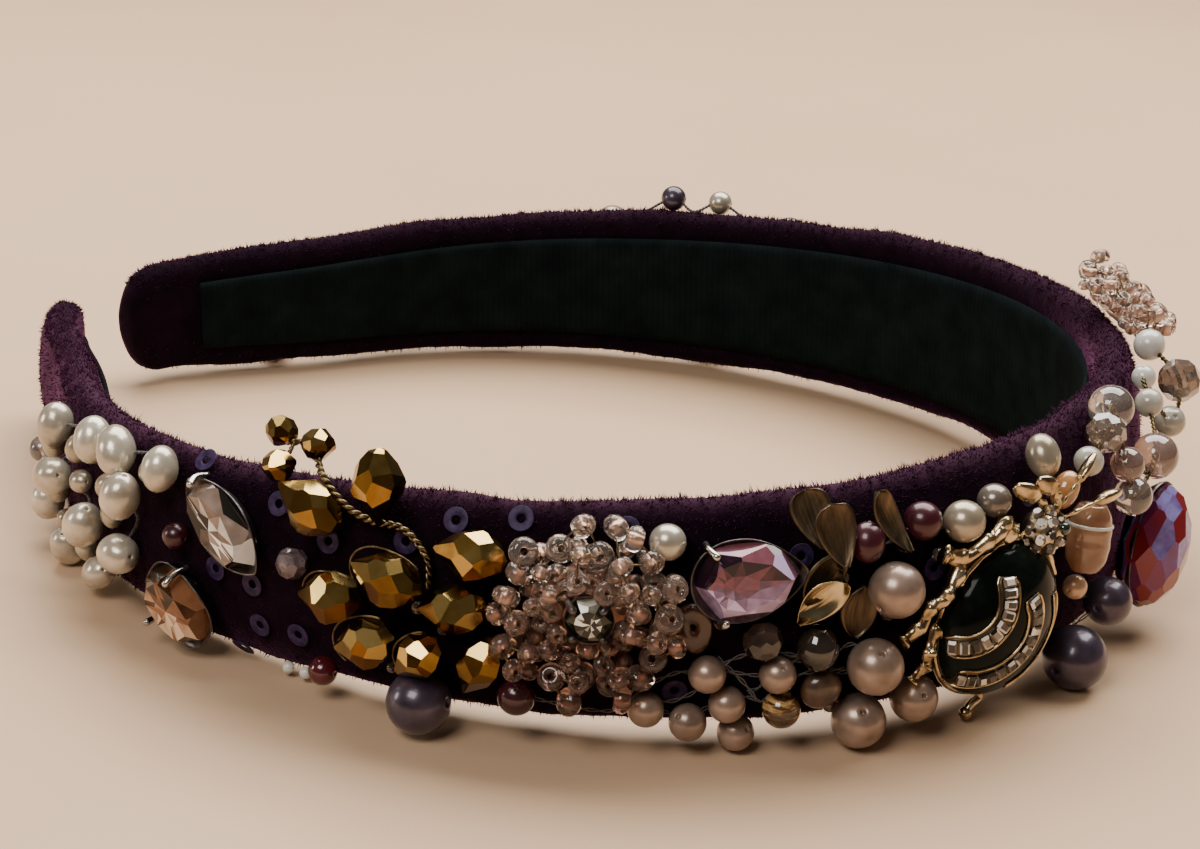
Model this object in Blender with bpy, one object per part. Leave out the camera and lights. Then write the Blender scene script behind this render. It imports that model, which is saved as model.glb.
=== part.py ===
"""Beaded headband: a padded velvet horseshoe lined with ribbon, its outer face covered with pearls,
set stones, faceted drops, two seed-bead flowers and an insect brooch.

It lies on its lower edge. The crown is at +X, the two tips at -X, and the front arm at -Y. All sizes
are in millimetres until a mesh is finished. A place on the band is given by two sizes: along, measured
on the band's middle line from the crown towards the front tip, negative towards the far tip, and up,
measured from the band's middle line. Each piece's own axes are X to the right as seen from outside,
Y up and Z out of the velvet.
"""

import math

import bmesh
import bpy
import numpy as np
from mathutils import Matrix, Vector

MM = 0.001
GAP = 0.3

# Band: plan, width and padding
PLAN_WAVES = (59.4, 26.9, 9.6, -0.3, 1.3, -0.7)
TIP_ANGLE = math.radians(172.8)
BAND_WIDTH = 27.0
TIP_WIDTH = 15.0
TAPER_POWER = 1.5
TIP_ROUND = 6.0
PAD_OUT = 4.0
PAD_OUT_TIP = 3.0
PAD_IN = 2.3
DOME_POWER = 2.6
EDGE_ROUND = 2.2
BAND_SPANS = 49
DOME_POINTS = 9

# Lining ribbon
RIBBON_THICK = 0.8
RIBBON_INSET = 3.2
RIBBON_END = 5.0

# How it lies: the crown is raised on its beads and the tips come down
REST_TILT = math.radians(2.75)
TABLE_BELOW = 11.3

# Beads
BEAD_SIDES = 12
SMALL_BEAD_SIDES = 10
STRUNG_BEAD_SIDES = 8
SMALL_BEAD = 5.0
WIRE = 0.5

COLOURS = {
    "velvet": ((0.085, 0.022, 0.075), 0.95, 0.0),
    "ribbon": ((0.006, 0.012, 0.011), 0.7, 0.0),
    "ivory": ((0.80, 0.76, 0.66), 0.25, 0.0),
    "champagne": ((0.62, 0.45, 0.33), 0.25, 0.0),
    "grey_purple": ((0.20, 0.15, 0.21), 0.25, 0.0),
    "garnet": ((0.20, 0.02, 0.04), 0.25, 0.0),
    "bronze_drop": ((0.55, 0.32, 0.08), 0.2, 1.0),
    "gold": ((0.78, 0.56, 0.30), 0.3, 1.0),
    "bronze_leaf": ((0.40, 0.29, 0.18), 0.35, 1.0),
    "clear_crystal": ((0.85, 0.82, 0.78), 0.05, 0.0),
    "peach_crystal": ((0.75, 0.42, 0.24), 0.05, 0.0),
    "amethyst": ((0.45, 0.25, 0.42), 0.05, 0.0),
    "shimmer": ((0.45, 0.05, 0.10), 0.05, 0.0),
    "smoke": ((0.35, 0.24, 0.20), 0.08, 0.0),
    "rose_glass": ((0.70, 0.45, 0.40), 0.1, 0.0),
    "amber": ((0.45, 0.22, 0.10), 0.1, 0.0),
    "enamel": ((0.008, 0.012, 0.010), 0.08, 0.0),
}


def clear_scene():
    for obj in list(bpy.data.objects):
        bpy.data.objects.remove(obj)


def material(name):
    """The material of that name, made once."""
    found = bpy.data.materials.get(name)
    if found:
        return found
    colour, roughness, metallic = COLOURS[name]
    made = bpy.data.materials.new(name)
    made.use_nodes = True
    shader = made.node_tree.nodes["Principled BSDF"]
    shader.inputs["Base Color"].default_value = (*colour, 1.0)
    shader.inputs["Roughness"].default_value = roughness
    shader.inputs["Metallic"].default_value = metallic
    return made


# The band's middle line: an egg whose radius is a sum of cosine waves, measured by its own length
def trace_plan(count=4001):
    angle = np.linspace(TIP_ANGLE, -TIP_ANGLE, count)
    radius = sum(size * np.cos(wave * angle) for wave, size in enumerate(PLAN_WAVES))
    x, y = radius * np.cos(angle), radius * np.sin(angle)
    length = np.concatenate([[0.0], np.cumsum(np.hypot(np.diff(x), np.diff(y)))])
    length -= length[-1] / 2
    forward = np.stack([np.gradient(x, length), np.gradient(y, length)], axis=1)
    forward /= np.linalg.norm(forward, axis=1)[:, None]
    return length, x, y, forward


PLAN_LENGTH, PLAN_X, PLAN_Y, PLAN_FORWARD = trace_plan()
ARM = float(PLAN_LENGTH[-1])


def middle(along):
    """The middle line's point, and the directions right and out, at a distance along it."""
    point = Vector((np.interp(along, PLAN_LENGTH, PLAN_X), np.interp(along, PLAN_LENGTH, PLAN_Y), 0))
    ahead = [float(np.interp(along, PLAN_LENGTH, PLAN_FORWARD[:, k])) for k in range(2)]
    right = -Vector((ahead[0], ahead[1], 0)).normalized()
    out = right.cross(Vector((0, 0, 1)))
    return point, right, out


def half_width(along):
    """Half the band's width before its tips are rounded."""
    return (BAND_WIDTH - (BAND_WIDTH - TIP_WIDTH) * (abs(along) / ARM) ** TAPER_POWER) / 2


def padding(along):
    """How thick the padding stands out of the middle line: less towards the tips."""
    return PAD_OUT - (PAD_OUT - PAD_OUT_TIP) * (along / ARM) ** 2


def dome(along, up):
    """How far the padded face stands out of the middle line, and its slope, at a place on it."""
    half = half_width(along)
    share = min(abs(up) / half, 0.9999)
    room = 1 - share**DOME_POWER
    slope = 0.5 * padding(along) * DOME_POWER * share ** (DOME_POWER - 1) / half / math.sqrt(room)
    return padding(along) * math.sqrt(room), math.copysign(slope, up)


def velvet_point(along, up, height):
    """A point over the padded face, with the velvet's own normal there: up is where it leaves the velvet."""
    point, right, out = middle(along)
    reach, slope = dome(along, up)
    normal = (out + slope * Vector((0, 0, 1))).normalized()
    return point + out * reach + Vector((0, 0, up)) + normal * height, right, normal


def seat(along, up, height):
    """The place, as a matrix, of a piece whose centre lies at up and stands height off the velvet."""
    half = half_width(along)
    low, high = -half, half
    for _ in range(40):
        foot = (low + high) / 2
        centre, right, normal = velvet_point(along, foot, height)
        if centre.z < up:
            low = foot
        else:
            high = foot
    rise = normal.cross(right)
    place = Matrix((right, rise, normal)).transposed().to_4x4()
    place.translation = centre
    return place


def stand(along, up, height):
    """The same place, for a piece that stands upright instead of lying along the velvet."""
    _, right, out = middle(along)
    place = Matrix((right, Vector((0, 0, 1)), out)).transposed().to_4x4()
    place.translation = seat(along, up, height).translation
    return place


def table_up(along, radius):
    """The height up of a bead that touches the table the headband lies on."""
    height = radius + GAP
    up = 0.0
    for _ in range(30):
        spot = seat(along, up, height).translation
        lowest = -(TABLE_BELOW + spot.x * math.sin(REST_TILT)) / math.cos(REST_TILT)
        up = lowest + radius / math.cos(REST_TILT)
        up = max(up, -half_width(along) - height + 0.01)
    return up


def turned(turn=0.0, lean=0.0, nod=0.0):
    """A turn about Z, then a lean about Y and a nod about X, in degrees."""
    return (
        Matrix.Rotation(math.radians(turn), 4, "Z")
        @ Matrix.Rotation(math.radians(lean), 4, "Y")
        @ Matrix.Rotation(math.radians(nod), 4, "X")
    )


# Mesh builders
def loft(rings, closed_ends=True):
    """A skin over rings of points, each as long as the next, with flat ends."""
    shape = bmesh.new()
    rows = [[shape.verts.new(point) for point in ring] for ring in rings]
    count = len(rows[0])
    for row, following in zip(rows, rows[1:]):
        for i in range(count):
            j = (i + 1) % count
            shape.faces.new((row[i], row[j], following[j], following[i]))
    if closed_ends:
        shape.faces.new(rows[0])
        shape.faces.new(rows[-1])
    bmesh.ops.recalc_face_normals(shape, faces=shape.faces)
    return shape


def hull(points):
    """The closed faceted form that just holds the points."""
    shape = bmesh.new()
    corners = [shape.verts.new(point) for point in points]
    found = bmesh.ops.convex_hull(shape, input=corners)
    left = found["geom_interior"] + found["geom_unused"]
    spare = {item for item in left if isinstance(item, bmesh.types.BMVert)}
    bmesh.ops.delete(shape, geom=list(spare), context="VERTS")
    bmesh.ops.recalc_face_normals(shape, faces=shape.faces)
    return shape


def ball(width, length=None, sides=None):
    """A bead: a ball, or an oval as long as length on X."""
    sides = sides or (SMALL_BEAD_SIDES if width < SMALL_BEAD else BEAD_SIDES)
    shape = bmesh.new()
    bmesh.ops.create_uvsphere(shape, u_segments=sides, v_segments=sides // 2 + 1, radius=width / 2)
    if length:
        bmesh.ops.transform(shape, matrix=Matrix.Rotation(math.pi / 2, 4, "Y"), verts=shape.verts)
        bmesh.ops.scale(shape, vec=(length / width, 1, 1), verts=shape.verts)
    return shape


def barrel(width, length, sides=BEAD_SIDES):
    """A barrel bead that lies along X."""
    profile = ((-0.5, 0.55), (-0.42, 0.82), (-0.2, 1.0), (0.2, 1.0), (0.42, 0.82), (0.5, 0.55))
    steps = [2 * math.pi * k / sides for k in range(sides)]
    rings = [
        [(x * length, wide * width / 2 * math.cos(a), wide * width / 2 * math.sin(a)) for a in steps]
        for x, wide in profile
    ]
    return loft(rings)


def faceted_drop(length, width, sides=8):
    """A cut drop along X: rings of corners, each ring turned half a step from the last."""
    profile = ((-0.5, 0.16), (-0.36, 0.62), (-0.12, 1.0), (0.16, 0.94), (0.38, 0.52), (0.5, 0.14))
    points = []
    for number, (x, wide) in enumerate(profile):
        for k in range(sides):
            a = 2 * math.pi * (k + number % 2 / 2) / sides
            points.append((x * length, wide * width / 2 * math.cos(a), wide * width / 2 * math.sin(a)))
    return hull(points)


def girdle(outline, length, width, count=16):
    """The outline of a cut stone, seen from above, as count points: round, navette, pear or cushion."""
    points = []
    for k in range(count):
        a = 2 * math.pi * k / count
        c, s = math.cos(a), math.sin(a)
        if outline == "navette":
            c, s = c, math.copysign(abs(s) ** 1.5, s)
        elif outline == "pear":
            s *= 1 - 0.32 * (1 + c) / 2 - 0.25 * max(c, 0) ** 2
        elif outline == "cushion":
            c, s = (math.copysign(abs(v) ** 0.7, v) for v in (c, s))
        points.append((c * length / 2, s * width / 2))
    return points


def cut_stone(outline, length, width, height):
    """A cut stone in its cup, fused: base, cup, girdle, crown facets and table."""
    levels = ((0.0, 0.62, 1), (0.45, 1.0, 1), (0.6, 1.0, 1), (0.82, 0.82, 2), (1.0, 0.56, 2))
    ring = girdle(outline, length, width)
    points = []
    for level, wide, step in levels:
        points += [(x * wide, y * wide, level * height) for x, y in ring[::step]]
    return hull(points)


def claw(x, y, height, size=1.1):
    """One claw that holds a stone: a short peg leaning in over the stone's edge."""
    inward = 0.82
    low = [(x + dx * size / 2, y + dy * size / 2, 0.1 * height) for dx in (-1, 1) for dy in (-1, 1)]
    top = [
        (x * inward + dx * size / 2, y * inward + dy * size / 2, 0.95 * height)
        for dx in (-1, 1)
        for dy in (-1, 1)
    ]
    return hull(low + top)


def tube(points, width, sides=6):
    """A wire of one width along a list of points, with its ring carried along without twist."""
    points = [Vector(point) for point in points]
    ways = [(b - a).normalized() for a, b in zip(points, points[1:])]
    ways = [ways[0]] + [(a + b).normalized() for a, b in zip(ways, ways[1:])] + [ways[-1]]
    across = ways[0].orthogonal().normalized()
    rings = []
    for point, way in zip(points, ways):
        across = (across - way * across.dot(way)).normalized()
        other = way.cross(across)
        rings.append(
            [
                point + width / 2 * (math.cos(a) * across + math.sin(a) * other)
                for a in (2 * math.pi * k / sides for k in range(sides))
            ]
        )
    return loft(rings)


def leaf(length, width, thick, cup, curl, steps=6):
    """A thin metal leaf along X, cupped across and curled along, with both skins and its edge."""
    rings = []
    for k in range(steps + 1):
        t = k / steps
        half = max(width / 2 * math.sin(math.pi * (0.08 + 0.86 * t)) ** 0.8, 0.25)
        x = (t - 0.5) * length
        rise = curl * (2 * t - 1) ** 2
        ring = [(x, half * side, rise + cup * side * side) for side in (-1, -0.5, 0, 0.5, 1)]
        ring += [(x, half * side, rise + cup * side * side + thick) for side in (1, 0.5, 0, -0.5, -1)]
        rings.append(ring)
    return loft(rings)


# Objects
HEADBAND = None


def finish(name, shape, colour, place, smooth=True):
    """Makes the object: its mesh in metres about its own origin, placed under the headband's empty."""
    mesh = bpy.data.meshes.new(name)
    bmesh.ops.scale(shape, vec=(MM, MM, MM), verts=shape.verts)
    shape.to_mesh(mesh)
    shape.free()
    if smooth:
        mesh.shade_smooth()
        mesh.set_sharp_from_angle(angle=math.radians(40))
    mesh.materials.append(material(colour))
    obj = bpy.data.objects.new(name, mesh)
    bpy.context.scene.collection.objects.link(obj)
    obj.parent = HEADBAND
    spot = place.copy()
    spot.translation = place.translation * MM
    obj.matrix_local = spot
    return obj


def fuse(main, shapes):
    """Joins further shapes, drawn in an object's own axes, to its solid, each by a union."""
    colour = main.data.materials[0].name
    for number, shape in enumerate(shapes):
        helper = finish(f"{main.name}_join_{number}", shape, colour, Matrix.Identity(4), smooth=False)
        helper.location = main.location.copy()
        helper.rotation_euler = main.rotation_euler.copy()
        helper.hide_render = True
        helper.display_type = "WIRE"
        union = main.modifiers.new(f"join_{number}", "BOOLEAN")
        union.operation = "UNION"
        union.solver = "EXACT"
        union.object = helper
    return main


def moved(shape, matrix):
    bmesh.ops.transform(shape, matrix=matrix, verts=shape.verts)
    return shape


# Velvet band
def section(along):
    """The band's outline as (out, up): flat inner face, rounded edges and padded dome."""
    half = half_width(along)
    from_tip = ARM - abs(along)
    share = min(max(1 - from_tip / TIP_ROUND, 0), 0.97)
    narrow = (1 - share**2.5) ** 0.4
    thin = 0.35 + 0.65 * (1 - share**2) ** 0.5
    half *= narrow
    corner = min(EDGE_ROUND, half * 0.45)
    flat = half - corner
    points = [(-PAD_IN * thin, -flat), (-PAD_IN * thin, 0), (-PAD_IN * thin, flat)]
    points += [(-PAD_IN * thin * math.sin(a), flat + corner * math.cos(a)) for a in (0.95, 0.4)]
    for k in range(DOME_POINTS):
        up = half * math.cos(math.pi * k / (DOME_POINTS - 1))
        points.append((padding(along) * thin * math.sqrt(max(1 - abs(up / half) ** DOME_POWER, 0)), up))
    points += [(-PAD_IN * thin * math.sin(a), -flat - corner * math.cos(a)) for a in (0.4, 0.95)]
    return points


def band_stations():
    """Distances along the band: even spans, with the tips' rounding in finer steps."""
    body = ARM - TIP_ROUND
    even = [body * (2 * k / BAND_SPANS - 1) for k in range(BAND_SPANS + 1)]
    fine = [body + TIP_ROUND * step for step in (0.35, 0.65, 0.86, 1.0)]
    return [-value for value in reversed(fine)] + even + fine


def make_band():
    rings = []
    for along in band_stations():
        point, _, out = middle(along)
        rings.append([point + out * reach + Vector((0, 0, up)) for reach, up in section(along)])
    finish("velvet_band", loft(rings), "velvet", Matrix.Identity(4))


# Lining ribbon
def make_lining():
    ends = ARM - TIP_ROUND - RIBBON_END
    stations = [along for along in band_stations() if abs(along) <= ends]
    face = -PAD_IN - GAP
    rings = []
    for along in stations:
        half = half_width(along) - RIBBON_INSET
        if along in (stations[0], stations[-1]):
            half *= 0.8
        point, _, out = middle(along)
        corners = ((face, -half), (face, half), (face - RIBBON_THICK, half), (face - RIBBON_THICK, -half))
        rings.append([point + out * reach + Vector((0, 0, up)) for reach, up in corners])
    finish("lining_ribbon", loft(rings), "ribbon", Matrix.Identity(4), smooth=False)


# Round beads and pearls sewn to the velvet. Columns: name, colour, along, up, width, length, turn, lift.
# Where up is None the bead is one of those that the headband rests on, and up follows from the table.
BEADS = (
    ("small_garnet_bead", "garnet", 116.8, 2.4, 3.0, None, 0, 0.0),
    ("crimson_bead", "garnet", 97.9, -8.9, 3.3, None, 0, 0.0),
    ("clear_rose_bead", "rose_glass", 100.5, 3.4, 3.4, None, 0, 0.0),
    ("grey_pearl_left", "grey_purple", 86.2, -9.4, 7.0, None, 0, 0.0),
    ("garnet_bead_low", "garnet", 76.5, -7.8, 4.2, None, 0, 0.0),
    ("ivory_pearl", "ivory", 62.0, 9.9, 3.9, None, 0, 0.0),
    ("smoky_bead", "smoke", 53.0, -1.1, 4.1, None, 0, 0.0),
    ("small_pearl_1", "champagne", 58.2, -4.6, 4.0, None, 0, 0.0),
    ("small_pearl_2", "champagne", 59.9, -10.6, 4.1, None, 0, 0.0),
    ("small_pearl_3", "champagne", 56.2, -8.4, 4.0, None, 0, 0.0),
    ("small_pearl_4", "champagne", 55.0, -12.5, 4.0, None, 0, 0.0),
    ("small_pearl_5", "champagne", 51.4, -5.2, 4.0, None, 0, 0.0),
    ("small_pearl_6", "champagne", 64.0, -8.8, 3.9, None, 0, 0.0),
    ("tiger_bead", "amber", 50.8, -9.5, 4.2, None, 0, 0.0),
    ("brown_bead", "amber", 46.9, -7.6, 3.8, 4.4, 90, 0.0),
    ("large_pearl_1", "champagne", 40.2, 3.4, 6.0, None, 0, 0.3),
    ("large_pearl_2", "champagne", 42.2, -4.9, 6.1, None, 0, 0.5),
    ("large_pearl_3", "champagne", 42.8, -12.0, 6.0, None, 0, 0.0),
    ("large_pearl_4", "champagne", 36.9, -10.4, 5.3, None, 0, 0.0),
    ("garnet_pearl_1", "garnet", 42.5, 8.4, 3.8, 4.2, 90, 0.0),
    ("garnet_pearl_2", "garnet", 36.5, 9.7, 4.2, None, 0, 0.0),
    ("champagne_pearl", "champagne", 31.9, 8.8, 4.6, None, 0, 0.0),
    ("bronze_pearl", "grey_purple", 27.6, 9.9, 3.8, None, 0, 0.0),
    ("grey_oval_pearl", "ivory", 19.6, 12.6, 3.8, 4.8, 90, 0.0),
    ("small_peach_pearl", "champagne", 14.4, -4.1, 2.8, None, 0, 0.0),
    ("grey_pearl_right_1", "grey_purple", 8.9, -7.6, 5.6, None, 0, 0.0),
    ("grey_pearl_right_2", "grey_purple", 14.6, None, 7.4, None, 0, 0.0),
    ("far_pearl_1", "champagne", -50.0, None, 7.5, None, 0, 0.0),
    ("far_pearl_2", "champagne", -108.0, None, 7.0, None, 0, 0.0),
    ("far_pearl_3", "champagne", -171.0, None, 4.2, None, 0, 0.0),
)


def make_beads():
    for name, colour, along, up, width, length, turn, lift in BEADS:
        if up is None:
            up = table_up(along, width / 2)
        place = seat(along, up, width / 2 + GAP + lift) @ turned(turn)
        finish(name, ball(width, length), colour, place)


# Rice pearls near the front tip, strung on one thread. Columns: along, up, width, length, turn, lift.
RICE_PEARLS = (
    (119.4, 9.3, 4.2, 5.2, 100, 0.0),
    (126.9, 9.4, 4.6, 6.0, 120, 0.3),
    (132.5, 8.9, 4.4, 5.6, 100, 0.0),
    (143.3, 7.1, 4.2, 5.6, 95, 0.0),
    (140.8, 1.9, 4.6, 5.6, 20, 0.6),
    (132.6, -1.2, 4.8, 5.8, 60, 0.3),
    (124.4, 5.1, 4.6, 5.6, 75, 0.6),
    (125.6, -2.3, 4.6, 5.6, 10, 0.3),
    (132.9, -7.6, 3.9, 5.2, 30, 0.0),
    (142.8, -8.1, 4.2, 5.4, 60, 0.0),
    (150.4, -5.2, 4.1, 5.0, 80, 0.0),
    (156.5, -1.4, 2.8, 3.4, 80, 0.0),
)


def make_rice_pearls():
    places = [seat(along, up, width / 2 + GAP + lift) for along, up, width, _, _, lift in RICE_PEARLS]
    shapes = [
        moved(ball(width, length, STRUNG_BEAD_SIDES), place @ turned(turn))
        for (_, _, width, length, turn, _), place in zip(RICE_PEARLS, places)
    ]
    main = finish("rice_pearl_cluster", shapes[0], "ivory", Matrix.Identity(4))
    thread = [place.translation for place in places]
    fuse(main, shapes[1:] + [tube(thread, 2 * WIRE, 5)])


# Set stones. Columns: name, colour, outline, along, up, length, width, height, turn, claw angles.
STONES = (
    ("navette_stone", "clear_crystal", "navette", 109.2, 5.8, 14.6, 7.0, 4.2, -46, (100, 260)),
    ("peach_cushion_stone", "peach_crystal", "cushion", 116.2, -5.6, 10.2, 8.8, 4.6, -40, (50, 140, 230)),
    ("flower_chaton", "clear_crystal", "round", 69.1, 2.2, 5.2, 5.2, 3.0, 0, (45, 135, 225, 315)),
    ("amethyst_stone", "amethyst", "pear", 54.0, 5.9, 12.2, 10.2, 4.8, 6, (60, 180, 300)),
    ("shimmer_crystal", "shimmer", "round", -4.4, -6.0, 15.0, 9.6, 6.2, 72, ()),
)
CHATON_LIFT = 2.0


def make_stones():
    for name, colour, outline, along, up, length, width, height, turn, claws in STONES:
        lift = CHATON_LIFT if name == "flower_chaton" else 0.0
        place = seat(along, up, GAP + lift) @ turned(turn)
        main = finish(name, cut_stone(outline, length, width, height), colour, place, smooth=False)
        pegs = [
            claw(math.cos(math.radians(a)) * length / 2, math.sin(math.radians(a)) * width / 2, height)
            for a in claws
        ]
        fuse(main, pegs)


# Faceted drops. Columns: name, along, up, length, width, turn, nod, lift.
DROPS = (
    ("gold_drop_1", 95.4, 1.2, 7.4, 5.4, 5, 0, 0.0),
    ("gold_drop_2", 89.0, 4.6, 8.0, 5.2, -15, 0, 0.6),
    ("gold_drop_3", 91.8, -3.6, 7.2, 5.2, 20, 0, 0.0),
    ("gold_drop_4", 85.7, -3.6, 6.0, 4.6, 40, 0, 1.4),
    ("gold_drop_5", 80.7, 7.9, 7.6, 4.8, -5, 0, 0.0),
    ("gold_drop_6", 82.4, 1.9, 7.6, 5.0, 8, 0, 0.0),
    ("gold_drop_7", 79.9, -4.4, 7.4, 4.6, 62, 0, 0.0),
)


def make_drops():
    for name, along, up, length, width, turn, nod, lift in DROPS:
        place = seat(along, up, width / 2 + GAP + lift) @ turned(turn, nod=nod)
        finish(name, faceted_drop(length, width), "bronze_drop", place, smooth=False)


# The spray: a twisted wire stem with two drops and three small faceted beads above the band's edge.
# Columns: along, up, height off the velvet.
SPRAY_STEM = (
    (101.0, 15.0, 3.8),
    (97.8, 13.3, 3.2),
    (94.5, 10.6, 2.2),
    (91.6, 9.4, 1.6),
    (88.2, 9.0, 1.4),
    (85.6, 6.4, 1.2),
    (85.6, 2.2, 1.0),
)
# Columns: along, up, height, length, width, turn. They stand upright off the band's edge.
SPRAY_BEADS = (
    (105.2, 16.2, 4.6, 4.0, 3.5, 60),
    (103.0, 13.2, 3.4, 4.0, 3.6, 100),
    (99.8, 15.4, 4.2, 4.0, 3.6, 80),
    (98.2, 10.4, 3.2, 8.8, 5.2, -28),
    (90.8, 13.4, 3.9, 9.2, 5.2, 88),
)


def make_spray():
    stem = [seat(along, up, height).translation for along, up, height in SPRAY_STEM]
    main = finish("gold_spray", tube(stem, 3 * WIRE), "bronze_drop", Matrix.Identity(4), smooth=False)
    drops = []
    for along, up, height, length, width, turn in SPRAY_BEADS:
        place = stand(along, up, height)
        drops.append(moved(faceted_drop(length, width), place @ turned(turn)))
        nearest = min(stem, key=lambda point: (point - place.translation).length)
        drops.append(tube([nearest, place.translation], 2 * WIRE))
    fuse(main, drops)


# Seed-bead flowers: a lobed cushion with a well for the stone at its centre.
# Columns: reach as a share of the radius, height, depth of the lobes.
FLOWER_PROFILE = (
    (0.22, 0.3, 0.0),
    (0.8, 0.3, 0.05),
    (1.0, 1.7, 0.09),
    (0.92, 3.2, 0.09),
    (0.66, 4.1, 0.05),
    (0.38, 3.4, 0.0),
    (0.32, 1.1, 0.0),
)
PETALS = 8
FLOWER_STEPS = 32
LOBE_START = math.radians(224)


def flower_rings(radius):
    """The cushion's rings as (x, y, height), widest where each petal comes out."""
    rings = []
    for share, height, lobes in FLOWER_PROFILE:
        ring = []
        for k in range(FLOWER_STEPS):
            a = 2 * math.pi * k / FLOWER_STEPS
            reach = radius * share * (1 + lobes * math.cos(PETALS * a + LOBE_START))
            ring.append((reach * math.cos(a), reach * math.sin(a), height))
        rings.append(ring)
    return rings


def make_flowers():
    """The front flower is bent to the velvet; the crown's one stays flat over the band's upper edge."""
    along, up = 69.2, 2.0
    bent = [
        [velvet_point(along - x, up + y, height)[0] for x, y, height in ring]
        for ring in flower_rings(8.6)
    ]
    finish("flower_beads", loft(bent), "rose_glass", Matrix.Identity(4))
    finish("crown_flower", loft(flower_rings(5.7)), "rose_glass", seat(-31.0, 12.8, 0.3))


# Leaves and flat drops. Columns: name, colour, along, up, height, length, width, cup, curl, turn, lean, nod.
LEAVES = (
    ("bronze_leaf_1", "bronze_leaf", 49.0, 11.2, 2.4, 6.2, 3.8, 0.8, 0.3, 105, 0, 22),
    ("bronze_leaf_2", "bronze_leaf", 45.3, 10.2, 1.4, 6.4, 3.8, 0.8, 0.3, 98, 0, -12),
    ("bronze_leaf_3", "bronze_leaf", 46.9, 3.4, 1.2, 5.4, 4.0, 1.2, 0.3, 60, -20, 0),
    ("bronze_leaf_4", "bronze_leaf", 43.9, -0.4, 0.8, 4.6, 3.2, 0.5, 0.2, 80, 0, 0),
    ("bronze_leaf_5", "bronze_leaf", 40.1, 9.9, 1.8, 6.8, 2.2, 0.6, 0.8, 112, 0, 30),
    ("amber_drop", "amber", 58.4, 0.2, 0.5, 4.2, 3.0, 0.2, 0.0, 100, 0, -12),
)
LEAF_THICK = 0.6
DROP_THICK = 1.4


def make_leaves():
    for name, colour, along, up, height, length, width, cup, curl, turn, lean, nod in LEAVES:
        thick = DROP_THICK if name == "amber_drop" else LEAF_THICK
        place = seat(along, up, height) @ turned(turn, lean, nod)
        finish(name, leaf(length, width, thick, cup, curl), colour, place)


def make_cup_drop():
    """A dark glass cup that hangs below the gold leaf: a deep round bead cut flat at its mouth."""
    place = seat(47.6, -2.2, 2.3 + GAP) @ turned(-90)
    profile = ((-0.5, 0.3), (-0.38, 0.75), (-0.1, 1.0), (0.2, 0.96), (0.42, 0.7), (0.5, 0.35))
    steps = [2 * math.pi * k / SMALL_BEAD_SIDES for k in range(SMALL_BEAD_SIDES)]
    rings = [[(x * 4.6, w * 2.2 * math.cos(a), w * 2.2 * math.sin(a)) for a in steps] for x, w in profile]
    finish("cup_drop", loft(rings), "smoke", place)


# Insect brooch: a plate with legs, head and feelers, and an enamel body with two raised bands of stones.
# Its own axes have X from tail to head.
INSECT_ALONG = 27.1
INSECT_UP = -3.4
INSECT_TURN = 60
PLATE_LONG = 18.6
PLATE_WIDE = 15.2
PLATE_THICK = 1.2
BODY_LONG = 16.4
BODY_WIDE = 13.8
BODY_HIGH = 4.6
BODY_BACK = -0.4
BAND_WIDE = 1.7
LEG_WIDE = 1.4
EGG_POINT = 0.12
# Routes of the legs, the tail's hanging drop and the feelers: x, y and height, upright, from the plate
LEGS = (
    ((2.6, 7.4, 0.7), (0.8, 9.4, 1.4), (-0.8, 11, 2.2), (-3, 9.9, 2.4), (-6.1, 8.7, 1.9), (-8.6, 9.5, 1.6)),
    ((-5, 5.2, 0.7), (-6.5, 6.8, 1.6), (-8.4, 5, 2.4), (-10.2, 4, 2), (-11.6, 1.8, 1.8), (-12.9, 1.5, 1.6)),
    ((-7.2, 0.4, 0.7), (-9.2, 0.8, 1.6), (-10.3, -1.0, 2.2), (-10.4, -2.4, 2.0), (-11.2, -3.2, 1.8)),
    ((-1.6, -7.4, 0.7), (-0.8, -9.8, 0.9), (-2.0, -10.6, 1.0), (-2.8, -11.2, 1.0)),
    ((4.9, 9.6, 2.6), (4.0, 12.9, 2.8), (0.4, 15.6, 2.6)),
    ((4.9, 9.6, 3.2), (5.4, 13.4, 3.4), (2.8, 16.0, 3.4)),
    ((4.9, 9.6, 2.8), (8.6, 14.0, 3.0), (11.8, 16.8, 2.8)),
    ((4.9, 9.6, 3.0), (11.4, 11.2, 3.4), (16.4, 11.2, 2.8)),
)
HEAD = (4.9, 9.6, 2.65)
HEAD_WIDE = 5.2
STONE_BANDS = (
    ((-0.4, 4.6), (-1.0, 2.4), (-2.2, 0.6), (-4.0, -0.8), (-6.6, -1.6)),
    ((2.8, 2.6), (3.0, -0.2), (1.8, -2.8), (-1.0, -4.8), (-4.6, -5.4)),
)


def egg(long, wide, shift=0.0, count=24):
    """The brooch's outline: an oval, narrower at the head."""
    points = []
    for k in range(count):
        a = 2 * math.pi * k / count
        narrow = 1 - EGG_POINT * math.cos(a)
        points.append((shift + long / 2 * math.cos(a), narrow * wide / 2 * math.sin(a)))
    return points


def enamel_height(x, y):
    """How high the enamel stands over its foot at a point of the brooch's own plane."""
    forward = 2 * (x - BODY_BACK) / BODY_LONG
    across = 2 * y / (BODY_WIDE * (1 - EGG_POINT * forward))
    return BODY_HIGH * math.sqrt(max(1 - forward**2 - across**2, 0.0))


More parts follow.
